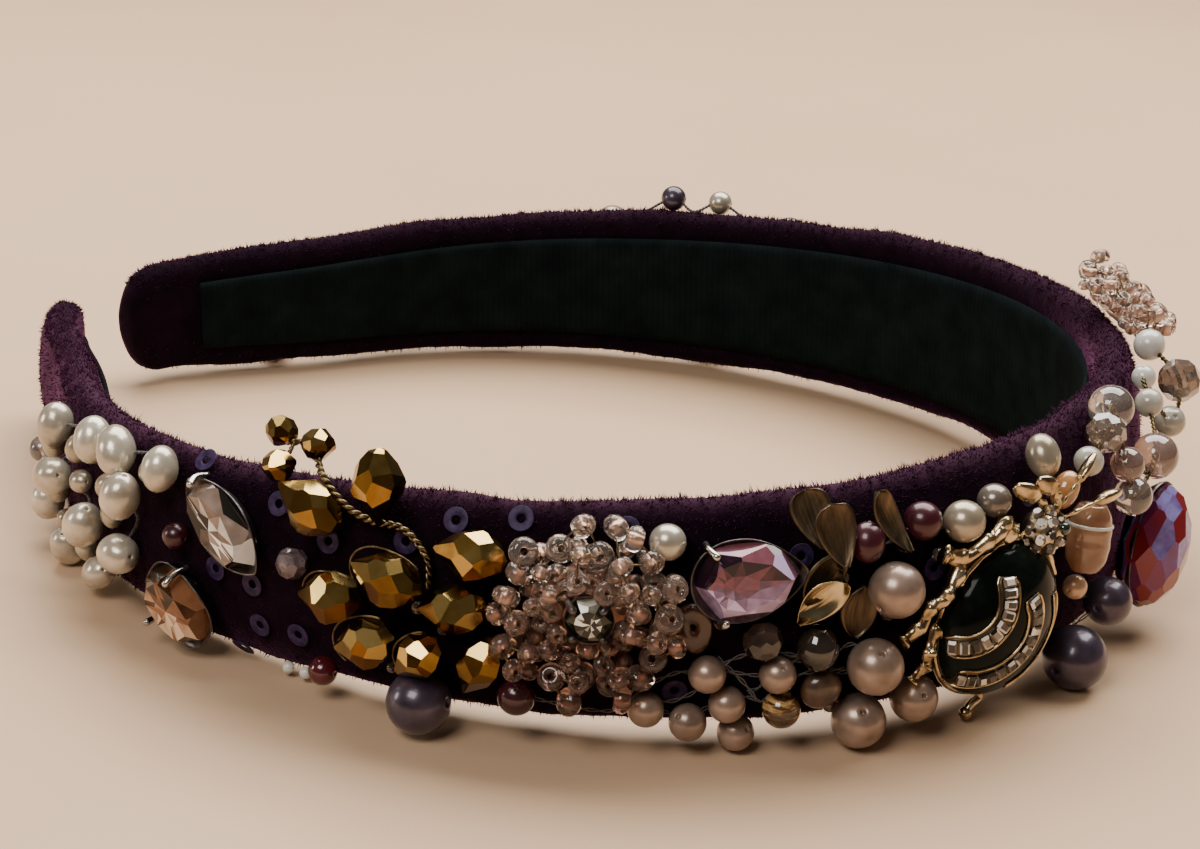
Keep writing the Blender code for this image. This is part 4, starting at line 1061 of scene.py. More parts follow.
# Columns: along, up, height, length, width, turn.
SPRAY_BEADS = (
    (105.2, 16.2, 4.6, 4.0, 3.5, 60),
    (103.0, 13.2, 3.4, 4.0, 3.6, 100),
    (99.8, 15.4, 4.2, 4.0, 3.6, 80),
    (98.2, 10.4, 3.2, 8.8, 5.2, -28),
    (90.8, 13.4, 3.9, 9.2, 5.2, 88),
)
stem_path = flowing(seat(*np.array(SPRAY_STEM).T)[0], 160)
stems = [twisted(stem_path, 0.22, 1.9, sides=8)]
for number, (along, up, height, length, width, turn) in enumerate(SPRAY_BEADS):
    centre, _ = seat(along, up, height)
    _, right, out = middle(along)
    axes = turned(np.stack([right, STRAIGHT_UP, out], -1), turn)
    drop = cut_drop(length, width, 60 + number)
    nodes = ["gold_spray"] if number == 0 else []
    mirrored_drop(f"spray_drop_{number + 1}", drop, centre, axes, 20 + number, nodes)
    near = stem_path[np.linalg.norm(stem_path - centre, axis=1).argmin()]
    stems.append(twisted(flowing([near, (near + centre) / 2 - 0.4 * out, centre], 30), 0.14, 1.0))
make_piece("spray_stem", joined(stems), gold_wire)

# Seed-bead flowers. Pale rose glass seed beads on wire: strings run out from the middle and end in loops, so
# the petals are trefoils of beads with their holes showing. Beads are pushed apart until none overlap.
# The seed bead's section and that of its coloured lining: radius and height as shares of half its width.
SEED_LOOP = (
    (0.28, -0.50), (0.28, 0.50), (0.48, 0.62), (0.80, 0.50), (1.0, 0.19), (1.0, -0.19), (0.80, -0.50),
    (0.48, -0.62),
)
TUBE_LOOP = ((0.36, -0.38), (0.36, 0.38), (0.30, 0.38), (0.30, -0.38))


def height_in(finish, low, high):
    """How far up the piece a point lies, from 0 at low to 1 at high, in millimetres over the floor."""
    tree = finish.node_tree
    apart = node_of(finish, "ShaderNodeSeparateXYZ")
    tree.links.new(node_of(finish, "ShaderNodeTexCoord").outputs["Object"], apart.inputs[0])
    span = node_of(finish, "ShaderNodeMapRange")
    span.inputs["From Min"].default_value = low * MM
    span.inputs["From Max"].default_value = high * MM
    tree.links.new(apart.outputs["Z"], span.inputs["Value"])
    return span.outputs["Result"]


def blended(finish, first, second, share):
    """Share of the first value and the rest of the second."""
    mixed = node_of(finish, "ShaderNodeMix")
    mixed.inputs["Factor"].default_value = 1 - share
    finish.node_tree.links.new(first, mixed.inputs["A"])
    finish.node_tree.links.new(second, mixed.inputs["B"])
    return mixed.outputs["Result"]


# The beads and their linings are painted lighter higher up and darker low down, a painted light from above,
# mixed with cloudy tone.
rose_glass = new_finish("rose_seed_glass", (0.86, 0.68, 0.60), 0.03, Transmission_Weight=0.95, IOR=1.5)
rose_tone_and_top_light = blended(rose_glass, noise_in(rose_glass, 420.0, 2.0), height_in(rose_glass, 3.0, 25.0), 0.45)
colour_from(rose_glass, rose_tone_and_top_light, (
    (0.2, (0.58, 0.29, 0.21)), (0.5, (0.83, 0.60, 0.50)), (0.75, (0.98, 0.90, 0.84)),
))
rose_lining = new_finish("rose_bead_lining", (0.30, 0.14, 0.10), 0.28, 0.7)
lining_tone_and_top_light = blended(rose_lining, noise_in(rose_lining, 600.0, 2.0), height_in(rose_lining, 3.0, 25.0), 0.5)
colour_from(rose_lining, lining_tone_and_top_light, ((0.25, (0.10, 0.035, 0.024)), (0.75, (0.60, 0.40, 0.31))))


# Beads overlap when their middles are nearer than this share of their two widths, and each round pushes
# them apart by part of it. The middle is kept clear for the stone, and the beads low enough to sit.
NEAR_SHARE, PUSH, ROUNDS = 0.46, 0.25, 60
CLEAR_SHARE, HIGHEST = 0.40625, 4.8


def flower_layout(radius, petals, seed, fillers):
    """Places and sizes of a flower's beads on its own plane: strings outward, trefoil tips, low fillers."""
    chance = np.random.default_rng(seed)
    spots, sizes = [], []
    for petal in range(petals):
        a = 2 * math.pi * (petal + 0.18 * chance.uniform(-1, 1)) / petals + 0.3
        reach = radius * chance.uniform(0.9, 1.04)
        for share, tall in ((0.42, 2.6), (0.58, 3.5), (0.72, 3.8)):
            far = reach * share
            spots.append((far * math.cos(a), far * math.sin(a), tall + chance.uniform(-0.3, 0.3)))
            sizes.append(chance.uniform(2.1, 2.7))
        for side, share in ((-1, 0.86), (0, 0.98), (1, 0.86)):
            swing = a + side * 1.5 / reach
            far = reach * share
            spots.append((far * math.cos(swing), far * math.sin(swing), 3.4 - 0.5 * abs(side)))
            sizes.append(chance.uniform(2.5, 3.2))
    for _ in range(fillers):
        a = 2 * math.pi * chance.integers(petals) / petals + 0.3 + chance.normal(scale=0.12)
        reach = radius * chance.uniform(0.36, 0.9)
        spots.append((reach * math.cos(a), reach * math.sin(a), chance.uniform(1.0, 2.2)))
        sizes.append(chance.uniform(1.9, 2.5))
    spots, sizes = np.array(spots), np.array(sizes)
    for _ in range(ROUNDS):
        between = spots[:, None] - spots[None]
        apart = np.linalg.norm(between, axis=2) + np.eye(len(spots)) * 99
        short = np.clip((sizes[:, None] + sizes[None]) * NEAR_SHARE - apart, 0, None)
        spots = spots + (between / apart[..., None] * short[..., None]).sum(axis=1) * PUSH
        inward = np.hypot(spots[:, 0], spots[:, 1])
        spots[:, :2] *= np.clip(CLEAR_SHARE * radius, inward, radius * 1.02)[:, None] / inward[:, None]
        spots[:, 2] = np.clip(spots[:, 2], sizes / 2, HIGHEST)
    return spots, sizes, chance


def axes_along(way, beside):
    """Axes whose Z is the way and whose X is square to it and to beside."""
    side = unit(np.cross(way, beside))
    return np.stack([side, np.cross(way, side), way], -1)


def random_axes(count, chance, spread=0.8):
    """Axes whose Z scatters about straight up."""
    way = unit(STRAIGHT_UP + chance.normal(scale=spread, size=(count, 3)))
    return axes_along(way, chance.normal(size=(count, 3)))


FRONT_FLOWER_ALONG, FRONT_FLOWER_UP = 69.2, 2.0
front_axes = seat(FRONT_FLOWER_ALONG, FRONT_FLOWER_UP, 0.0)[1]
crown_centre, crown_axes = seat(-31.0, 12.8, 0.3)


def place_front_flower(spots):
    """The front flower follows the velvet: its plane is bent to the padded face."""
    limit = half_width(FRONT_FLOWER_ALONG) * 0.98
    foot = np.clip(FRONT_FLOWER_UP + spots[:, 1], -limit, limit)
    return over_velvet(FRONT_FLOWER_ALONG - spots[:, 0], foot, spots[:, 2])[0]


def place_crown_flower(spots):
    """The crown flower is flat, and stands on the velvet's upper edge."""
    return crown_centre + spots @ crown_axes.T


# Columns: node, radius, petals, seed, fillers, how it is placed, its axes, size of its beads.
FLOWERS = (
    ("flower_beads", 8.4, 9, 21, 42, place_front_flower, front_axes, 1.0),
    ("crown_flower", 5.9, 6, 22, 18, place_crown_flower, crown_axes, 0.9),
)
outer_bead = revolved(SEED_LOOP, 14)
tube_bead = revolved(TUBE_LOOP, 10)
# A string runs through the beads of a petal in this order, and ends in a loop.
STRING_ORDER = np.array((0, 1, 2, 3, 4, 5, 2))
# The base under the beads: radius as a share of the flower's, and height.
BASE_SECTION = ((0.0, 0.2), (0.30, 0.3), (0.62, 0.5), (0.60, 0.9), (0.25, 1.1), (0.0, 1.1))
for name, radius, petals, seed, fillers, place, axes, scale in FLOWERS:
    spots, sizes, chance = flower_layout(radius, petals, seed, fillers)
    ways = np.einsum("ij,njk->nik", axes, random_axes(len(spots), chance))
    placed = place(spots)
    seeds = strewn(outer_bead, placed, ways, sizes / 2 * scale)
    tubes = strewn(tube_bead, placed, ways, sizes / 2 * scale)
    make_piece(f"{name}_seeds", seeds, rose_glass, [name])
    make_piece(f"{name}_linings", tubes, rose_lining)
    strings = [wire(flowing(placed[6 * petal + STRING_ORDER], 60), 0.12, 5) for petal in range(petals)]
    disc = revolved(np.array(BASE_SECTION) * (radius, 1.0), 28, False)
    make_piece(f"{name}_wires", joined(strings), gold_wire)
    make_piece(f"{name}_base", (place(disc[0]), disc[1]), rose_lining)

# Leaves. Stamped brass with a brushed bronze finish, fan-shaped and cupped, wired on by their narrow ends;
# the one over the big lilac stone is a bright gold cup. Columns: node, finish, along, up, height, length,
# width, cup, curl, turn, lean, nod, fullness (where it is widest, as a share of its length).
LEAVES = (
    ("bronze_leaf_1", "bronze", 47.3, 10.9, 1.2, 6.4, 4.4, 0.6, 0.3, -78, 0, 14, 0.30),
    ("bronze_leaf_2", "bronze", 45.9, 9.7, 2.8, 6.8, 4.8, 0.8, 0.3, -80, 0, -8, 0.30),
    ("bronze_leaf_3", "gilt", 47.6, 3.5, 1.9, 6.6, 4.8, 1.6, 0.4, 38, -8, 16, 0.55),
    ("bronze_leaf_4", "bronze", 43.0, 0.6, 1.0, 5.8, 4.4, 0.5, 0.2, -100, 0, 0, 0.5),
    ("bronze_leaf_5", "bronze", 40.2, 9.9, 1.9, 7.4, 3.2, 0.9, 0.9, -66, 0, -14, 0.34),
)
LEAF_THICK = 0.42
LEAF_RIM = 0.16


def leaf_shape(length, width, cup, curl, fullest, steps=26, ribs=9):
    """A cupped leaf along X: its half-width swells to its fullest and closes in rounded ends; both skins
    carry faint ribs that spread from the stalk, and the outer one a raised rim."""
    t = np.linspace(0.0, 1.0, steps + 1)[:, None]
    bent = t ** (math.log(0.5) / math.log(fullest))
    half = width / 2 * np.sin(math.pi * np.clip(bent, 0.012, 0.988)) ** 0.62
    s = np.linspace(-1, 1, 25)
    rise = curl * (2 * t - 1) ** 2 + cup * s**2 + 0.05 * np.cos(ribs * math.pi * s) * np.sin(math.pi * t)
    x = np.broadcast_to((t - 0.5) * length, rise.shape)
    y = half * s
    thick = LEAF_THICK * (1 - 0.7 * s**4) + LEAF_RIM * np.exp(-(((np.abs(s) - 0.83) / 0.09) ** 2))
    low = np.stack([x, y, rise], -1)
    top = np.stack([x, y, rise + thick], -1)
    return lofted(np.concatenate([low, top[:, ::-1]], axis=1))


brushed_bronze = new_finish("brushed_bronze", (0.22, 0.16, 0.10), 0.42, 0.9)
clouded(brushed_bronze, 700.0, (
    (0.3, (0.045, 0.032, 0.020)), (0.6, (0.14, 0.10, 0.062)), (0.85, (0.28, 0.21, 0.135)),
), 4.0, (1.0, 1.0, 0.2))
grained(brushed_bronze, 2200.0, 0.35, 0.0001, stretch=(1.0, 1.0, 0.12))
gilt = new_finish("bright_gilt", (0.80, 0.60, 0.32), 0.2, 1.0)
clouded(gilt, 260.0, ((0.35, (0.24, 0.185, 0.10)), (0.62, (0.62, 0.51, 0.32))))
LEAF_FINISHES = {"bronze": brushed_bronze, "gilt": gilt}
stalks = []
for node, tint, along, up, height, length, width, cup, curl, turn, lean, nod, fullest in LEAVES:
    centre, low_axes = seat(along, up, height)
    axes = turned(low_axes, turn, lean, nod)
    leaf = strewn(leaf_shape(length, width, cup, curl, fullest), [centre], [axes])
    make_piece(f"{node}_blade", leaf, LEAF_FINISHES[tint], [node])
    end = centre + axes @ np.array([length * 0.48, 0, curl])
    bend = end - 0.7 * low_axes[:, 2] + 0.3 * axes[:, 0]
    stalks.append(wire(flowing([end, bend, end - 1.9 * low_axes[:, 2]], 16), 0.16, 6))
make_piece("leaf_stalks", joined(stalks), gold_wire)
# A dark petal of the same stamping stands behind the gilt one.
centre, axes = seat(47.0, 5.4, 1.7)
petal = strewn(leaf_shape(7.0, 4.6, 0.7, 0.3, 0.5), [centre], [turned(axes, 46, 0, 18)])
make_piece("dark_petal", petal, brushed_bronze)

# The amber drop. A flat leaf of pressed amber glass with a drilled hole, sewn on beside the flower. Its
# section is carried round the hole. Columns: along, up, height, length, width, turn, nod.
amber_glass = new_finish(
    "amber_glass", (0.12, 0.05, 0.018), 0.26, Transmission_Weight=0.22, Coat_Weight=0.3, Coat_Roughness=0.08,
)
clouded(amber_glass, 520.0, ((0.3, (0.024, 0.008, 0.003)), (0.75, (0.095, 0.034, 0.013))))
AMBER = (59.3, 0.2, 0.5, 5.8, 4.0, 98, -12)
along, up, height, length, width, turn, nod = AMBER
centre, axes = seat(along, up, height + 0.8)
axes = turned(axes, turn, 0, nod)
AMBER_SIDES, AMBER_STEPS = 16, 40
slope = full_turn(AMBER_SIDES)
spin = full_turn(AMBER_STEPS)[:, None]
# The section runs from the hole's edge, a tenth of the way out, to the rim and back.
hole_share = 0.10 + 0.90 * (0.5 - 0.5 * np.cos(slope))
thick = 0.62 * np.sign(np.sin(slope)) * np.abs(np.sin(slope)) ** 0.6
pull = 1 + 0.22 * np.cos(spin)
amber_points = np.stack([
    hole_share * length / 2 * np.cos(spin) + 0.25 * (1 - hole_share),
    hole_share * width / 2 * np.sin(spin) * pull,
    np.broadcast_to(thick, (AMBER_STEPS, AMBER_SIDES)),
], -1)
amber_leaf = strewn(closed_loop(amber_points), [centre], [axes])
make_piece("amber_leaf_bead", amber_leaf, amber_glass, ["amber_drop"])

# Glass and shell beads near the big lilac stone: smoky and clear faceted rounds, a striped tiger-eye, a
# brown shell bead and a dark glass cup that hangs under the gilt leaf.
smoke_glass = new_finish(
    "smoky_glass", (0.20, 0.13, 0.10), 0.06, Transmission_Weight=0.5, Coat_Weight=0.8, Coat_Roughness=0.03,
)
clouded(smoke_glass, 380.0, ((0.3, (0.02, 0.012, 0.009)), (0.75, (0.13, 0.085, 0.06))))
tiger_eye = new_finish("tiger_eye", (0.20, 0.11, 0.05), 0.16, Coat_Weight=0.7, Coat_Roughness=0.05)
clouded(tiger_eye, 620.0, (
    (0.36, (0.022, 0.012, 0.006)), (0.50, (0.11, 0.05, 0.018)), (0.60, (0.52, 0.33, 0.13)),
    (0.75, (0.14, 0.07, 0.03)),
), stretch=(0.5, 0.5, 2.6))
shell = new_finish("brown_shell", (0.20, 0.12, 0.08), 0.3, Coat_Weight=0.4, Transmission_Weight=0.15)
clouded(shell, 460.0, ((0.3, (0.03, 0.014, 0.008)), (0.75, (0.16, 0.095, 0.058))), 4.0)
clear_rose = new_finish(
    "clear_rose_glass", (0.46, 0.32, 0.34), 0.06,
    Transmission_Weight=0.5, Coat_Weight=0.8, Coat_Roughness=0.03,
)
clouded(clear_rose, 700.0, ((0.3, (0.06, 0.038, 0.048)), (0.72, (0.38, 0.29, 0.31))))


def cut_round(width, seed, sides=8):
    """A faceted round bead: four rings of planes that touch a ball."""
    chance = np.random.default_rng(seed)
    rows = []
    for number, pitch in enumerate((-58, -20, 20, 58)):
        count = sides if abs(pitch) < 40 else sides // 2 + 1
        a = 2 * math.pi * (np.arange(count) + number % 2 / 2 + chance.uniform(-0.05, 0.05, count)) / count
        b = np.full(count, math.radians(pitch))
        rows.append(np.stack([np.cos(b) * np.cos(a), np.cos(b) * np.sin(a), np.sin(b)], -1))
    normals = np.concatenate(rows + [np.array([[0, 0, 1.0], [0, 0, -1.0]])])
    return cut_by_planes(normals, np.full(len(normals), width / 2 * 0.95))


# Columns: node, finish, slot, whether it is faceted.
ODD_BEADS = (
    ("smoky_bead", smoke_glass, "smoke", True),
    ("clear_rose_bead", clear_rose, "rose_glass", True),
    ("tiger_bead", tiger_eye, "amber", False),
    ("brown_bead", shell, "amber", False),
)
for number, (node, finish, slot, faceted) in enumerate(ODD_BEADS):
    centre, axes, size = sewn_at(node)
    shape = cut_round(size, 80 + number) if faceted else pearl_shape(size, hole=0.16)
    if node == "brown_bead":
        shape = (shape[0] * (1.05, 1.0, 0.72), shape[1])
    bead = strewn(shape, [centre], [turned(axes, 25)])
    make_piece(f"{node}_glass", bead, finish, [node], not faceted)

cup_glass = new_finish(
    "dark_cup_glass", (0.06, 0.045, 0.035), 0.05,
    Transmission_Weight=0.45, Coat_Weight=1.0, Coat_Roughness=0.02,
)
clouded(cup_glass, 300.0, ((0.3, (0.008, 0.006, 0.004)), (0.75, (0.05, 0.035, 0.025))))
centre, axes, _ = sewn_at("cup_drop")
slope = np.linspace(0, 1, 18)
cup_side = np.stack([2.25 * np.sin(math.pi * (0.06 + 0.80 * slope)) ** 0.7, 2.3 - 4.6 * slope], -1)
cup_inside = cup_side[::-1] * (0.84, 0.92) + (0, 0.1)
cup_profile = np.concatenate([[(0.0, -2.35)], cup_side[::-1], cup_inside[::-1][:10], [(0.0, -0.4)]])
cup = revolved(cup_profile, 30, closed=False)
upright = np.stack([axes[:, 0], axes[:, 2], axes[:, 1]], -1)
make_piece("dark_glass_cup", strewn(cup, [centre], [upright]), cup_glass, ["cup_drop"])

# Threads. Grey polyester thread is doubled between the small pearls and carried to the large ones, showing
# over the velvet. Columns of each run: along, up, height off the velvet.
THREAD_RUNS = (
    ((66.0, -6.4, 0.5), (62.5, -8.4, 1.2), (59.6, -7.4, 1.6), (56.8, -5.2, 1.0), (53.4, -5.4, 1.6),
     (51.4, -5.2, 2.2)),
    ((51.4, -5.2, 2.2), (48.6, -4.0, 1.2), (46.0, -4.6, 1.0), (43.6, -3.0, 1.6), (42.0, -4.4, 3.0)),
    ((58.2, -4.6, 2.0), (56.6, -6.4, 1.4), (56.2, -8.4, 2.2), (55.2, -10.4, 2.0), (55.0, -12.4, 2.2)),
    ((53.8, -7.8, 1.0), (52.4, -6.8, 1.2), (51.2, -3.6, 0.9), (48.6, -4.6, 1.0), (45.6, -6.2, 1.4),
     (43.4, -5.6, 2.6)),
    ((59.9, -10.6, 2.0), (58.0, -9.4, 1.4), (56.4, -8.6, 1.8), (54.2, -8.2, 1.2), (51.6, -9.2, 2.0)),
    ((63.2, -6.0, 1.2), (60.6, -4.6, 1.6), (58.2, -4.6, 2.4), (55.4, -3.4, 1.4), (52.2, -2.6, 1.6),
     (48.8, -3.6, 1.6), (45.4, -3.4, 1.8)),
    ((57.0, -3.2, 1.2), (54.4, -6.2, 1.6), (52.6, -8.6, 2.0), (50.8, -6.8, 1.4), (48.0, -5.6, 1.8),
     (44.6, -5.4, 2.4)),
    ((76.5, -7.8, 2.0), (72.0, -9.6, 0.6), (68.0, -10.2, 0.6), (64.0, -8.8, 2.0), (62.0, -10.0, 0.8),
     (59.9, -10.6, 2.0)),
    ((42.5, 8.4, 2.0), (39.6, 7.2, 0.6), (36.5, 9.6, 2.2), (34.0, 8.0, 1.0), (31.9, 8.8, 2.4),
     (29.6, 8.8, 1.0), (27.6, 9.9, 2.0)),
    ((14.4, -4.1, 1.6), (12.0, -6.4, 0.8), (8.9, -7.6, 2.8), (12.0, -10.4, 1.4), (14.6, -11.6, 3.0)),
)
run_paths = [flowing(seat(*np.array(run).T)[0], 120) for run in THREAD_RUNS]
runs = [twisted(path, 0.15, 3.8, sides=5, thick=0.075) for path in run_paths]
make_piece("sewing_threads", joined(runs), thread_finish)

# The insect brooch. Cast in pale gold: a plate with bamboo-jointed legs, a stone-set head and spoon-shaped
# feelers. Its domed black enamel body is crossed by three gold channels, two of them set with clear stones.
INSECT_ALONG, INSECT_UP, INSECT_TURN = 27.1, -3.4, 60
PLATE_LONG, PLATE_WIDE, PLATE_THICK = 18.8, 16.2, 1.2
BODY_LONG, BODY_WIDE, BODY_HIGH = 18.0, 15.6, 4.6
EGG_POINT = 0.02
insect_centre, upright_axes = seat(INSECT_ALONG, INSECT_UP, GAP)
brooch_axes = turned(upright_axes, INSECT_TURN)


def on_brooch(points, axes=upright_axes):
    """Points given on the brooch's plane, upright, to the band's axes."""
    return insect_centre + np.asarray(points, float) @ axes.T


def egg(share, long, wide, count=96):
    """The brooch's outline at a share of its size: an oval, narrower at the head."""
    a = full_turn(count)
    x = long * share / 2 * np.cos(a)
    return np.stack([x, wide * share / 2 * np.sin(a) * (1 - EGG_POINT * np.cos(a))], -1)


cast_gold = new_finish("cast_pale_gold", (0.72, 0.55, 0.33), 0.24, 1.0)
clouded(cast_gold, 520.0, (
    (0.30, (0.20, 0.14, 0.075)), (0.5, (0.55, 0.42, 0.25)), (0.75, (0.83, 0.70, 0.49)),
), 4.0)
grained(cast_gold, 1100.0, 0.35, 0.0002)

# The plate's section: share of its outline, and height.
PLATE_SECTION = (
    (0.02, 0.0), (0.88, 0.0), (0.96, 0.25), (1.0, 0.7), (0.995, 1.1), (0.97, 1.35), (0.93, 1.3), (0.915, 1.1),
    (0.02, 1.1),
)
plate_outlines = [egg(share, PLATE_LONG, PLATE_WIDE) for share, _ in PLATE_SECTION]
plate = stepped(plate_outlines, [level for _, level in PLATE_SECTION])
castings = [strewn(plate, [insect_centre], [brooch_axes])]

# Three legs show, each with a knotted ridge. Columns: x, y and height, upright, from the plate's centre.
LEG_STEPS = 110
LEG_THICK = (1.5, 1.34, 1.12)
LEG_TAPER = (0.26, 0.10, 0.02)
LEGS = (
    ((2.6, 7.4, 0.9), (0.8, 9.4, 1.6), (-0.8, 11.0, 2.4), (-3.0, 9.9, 2.6), (-6.1, 8.7, 2.1),
     (-8.6, 9.5, 1.7)),
    ((-5.0, 5.2, 0.9), (-6.5, 6.8, 1.8), (-8.4, 5.2, 2.6), (-10.2, 4.0, 2.2), (-11.8, 1.9, 2.0),
     (-13.9, 0.8, 1.9)),
    ((-7.2, 0.4, 0.9), (-9.2, 0.8, 1.8), (-10.3, -1.0, 2.4), (-10.5, -2.6, 2.2), (-12.2, -4.2, 1.9)),
)
for leg, leg_thick, taper in zip(LEGS, LEG_THICK, LEG_TAPER):
    path = flowing(on_brooch(leg), LEG_STEPS)
    t = np.linspace(0, 1, LEG_STEPS)
    swing = math.pi * (len(leg) - 1) * t
    joints = 0.20 * np.abs(np.cos(swing)) ** 5
    thick = leg_thick * (1 - taper * t) * (1 + joints + 0.10 * np.sin(swing * 2 + 0.6))
    castings.append(wire(path, thick, 6, 0.60))
    ridge_path = path + 0.34 * upright_axes[:, 2] * (1 - 0.3 * t)[:, None]
    castings.append(wire(ridge_path, 0.58 * thick * (1 + 0.40 * np.cos(math.pi * 8 * t)), 6, 0.8))

# Feelers: two pairs that end in spoons. Columns: points as for the legs, and the spoon's width.
FEELER_STEPS = 70
FEELERS = (
    (((5.6, 10.6, 2.8), (4.4, 12.6, 3.2), (2.4, 14.2, 3.0), (0.4, 15.6, 2.6)), 1.15),
    (((6.0, 11.4, 3.2), (6.0, 13.2, 3.6), (4.6, 14.8, 3.6), (2.8, 16.0, 3.4)), 1.0),
    (((6.6, 11.2, 2.8), (8.0, 13.2, 3.2), (9.8, 15.0, 3.2), (11.8, 16.8, 2.8)), 0.95),
    (((7.2, 10.2, 2.8), (10.4, 11.0, 3.4), (13.4, 11.4, 3.4), (16.4, 11.2, 2.8)), 1.2),
)
for route, spoon in FEELERS:
    path = flowing(on_brooch(route), FEELER_STEPS)
    t = np.linspace(0, 1, FEELER_STEPS)
    stem = 0.42 + 0.12 * np.cos(2 * math.pi * 5 * t) * (t < 0.6)
    bowl = (spoon - 0.3) * np.sin(math.pi * np.clip((t - 0.5) / 0.5, 0, 1)) ** 0.8
    castings.append(wire(path, np.clip(stem + bowl, 0.12, None), 12, 0.55))

# A short tail hangs below the plate and ends in a ball.
TAIL = ((-1.6, -7.4, 0.9), (-0.8, -9.6, 1.1), (-2.0, -10.2, 1.2), (-2.6, -10.8, 1.2))
castings.append(wire(flowing(on_brooch(TAIL), 40), 0.5, 10))
tail_ball = pearl_shape(1.5, sides=18, rows=12, hole=0.05)
castings.append(strewn(tail_ball, [on_brooch((-2.8, -11.1, 1.2))], [upright_axes]))
# A beaded collar runs round the enamel's head end, a little outside it.
COLLAR_STEPS, COLLAR_SHARE, COLLAR_HEIGHT = 70, 0.515, 1.9
round_head = np.linspace(-0.75, 1.35, COLLAR_STEPS)
collar = COLLAR_SHARE * np.stack([BODY_LONG * np.cos(round_head), BODY_WIDE * np.sin(round_head)], -1)
collar = np.column_stack([collar, np.full(COLLAR_STEPS, COLLAR_HEIGHT)])
collar_thick = 0.38 + 0.05 * np.cos(np.linspace(0, 50, COLLAR_STEPS))
castings.append(wire(on_brooch(collar, brooch_axes), collar_thick, 10))
make_piece("brooch_casting", joined(castings), cast_gold, ["insect_frame"])

enamel = new_finish(
    "black_enamel", (0.003, 0.006, 0.005), 0.12, Specular_IOR_Level=0.12, IOR=1.3, Coat_Weight=0.3,
    Coat_Roughness=0.03, Coat_IOR=1.25,
)
clouded(enamel, 170.0, ((0.42, (0.0015, 0.003, 0.0025)), (0.78, (0.012, 0.018, 0.015))), 4.0)
rise = np.linspace(0, math.pi / 2 * 0.985, 26)
enamel_outlines = [egg(share, BODY_LONG, BODY_WIDE) for share in np.cos(rise)]
enamel_dome = stepped(enamel_outlines, PLATE_THICK + GAP + BODY_HIGH * np.sin(rise))
enamel_body = strewn(enamel_dome, [insect_centre], [brooch_axes])
make_piece("enamel_body", enamel_body, enamel, ["insect_body"])


def enamel_height(x, y):
    """How high the enamel stands over the plate at a point of the brooch's own plane."""
    forward = 2 * x / BODY_LONG
    across = 2 * y / (BODY_WIDE * (1 - EGG_POINT * forward))
    return BODY_HIGH * np.sqrt(np.clip(1 - forward**2 - across**2, 0, 1))


# Channels of stones: x and y, upright, from the plate's centre, then the width of the channel.
CHANNELS = (
    (((-1.6, 6.2), (-1.9, 3.9), (-2.7, 1.8), (-4.2, 0.2), (-6.0, -0.7), (-7.9, -0.9)), 2.4),
    (((1.1, 3.6), (1.7, 1.6), (1.3, -0.8), (0.0, -2.8), (-2.2, -4.3), (-4.8, -5.0), (-6.8, -4.8)), 2.4),
    (((5.4, 2.6), (6.0, -0.6), (5.0, -3.6), (2.8, -6.0), (0.0, -7.4)), 0.9),
)


def on_enamel(flat, lift):
    """Points over the enamel from places on the brooch's upright plane, and the enamel's normal there."""
    back = turned(np.eye(3), -INSECT_TURN)
    x, y, _ = (np.column_stack([flat, np.zeros(len(flat))]) @ back.T).T
    tall = np.maximum(enamel_height(x, y), 0.1)
    step = 0.2
    slope_x = (enamel_height(x + step, y) - enamel_height(x - step, y)) / (2 * step)
    slope_y = (enamel_height(x, y + step) - enamel_height(x, y - step)) / (2 * step)
    normal = unit(np.stack([-slope_x, -slope_y, np.ones(len(x))], -1))
    points = np.stack([x, y, PLATE_THICK + GAP + tall], -1) + normal * lift
    return insect_centre + points @ brooch_axes.T, normal @ brooch_axes.T


def square_stone():
    """A small square stone with cut corners, one millimetre across."""
    rim = np.array([(0.5, 0.5), (-0.5, 0.5), (-0.5, -0.5), (0.5, -0.5)])
    rows = (
        facet_ring(rim, 4, 0, 0, 1.0),
        facet_ring(rim, 4, 0, 0, 0.88, 0.5),
        facet_ring(rim, 4, 46, 0.10, 1.0),
        facet_ring(rim, 4, 34, 0.12, 0.86, 0.5),
    )
    return cut_by_rows(rows, 0.30, 0.30)


def small_stone():
    """A small round stone of sixteen crown facets, one millimetre across."""
    rim = stone_outline("round", 1.0, 1.0)
    rows = (
        facet_ring(rim, 8, 0, 0, 1.0),
        facet_ring(rim, 8, 40, 0.04, 1.0),
        facet_ring(rim, 8, 24, 0.18, 0.74, 0.5),
        facet_ring(rim, 6, -40, -0.05, 1.0),
    )
    return cut_by_rows(rows, 0.26, 0.30)


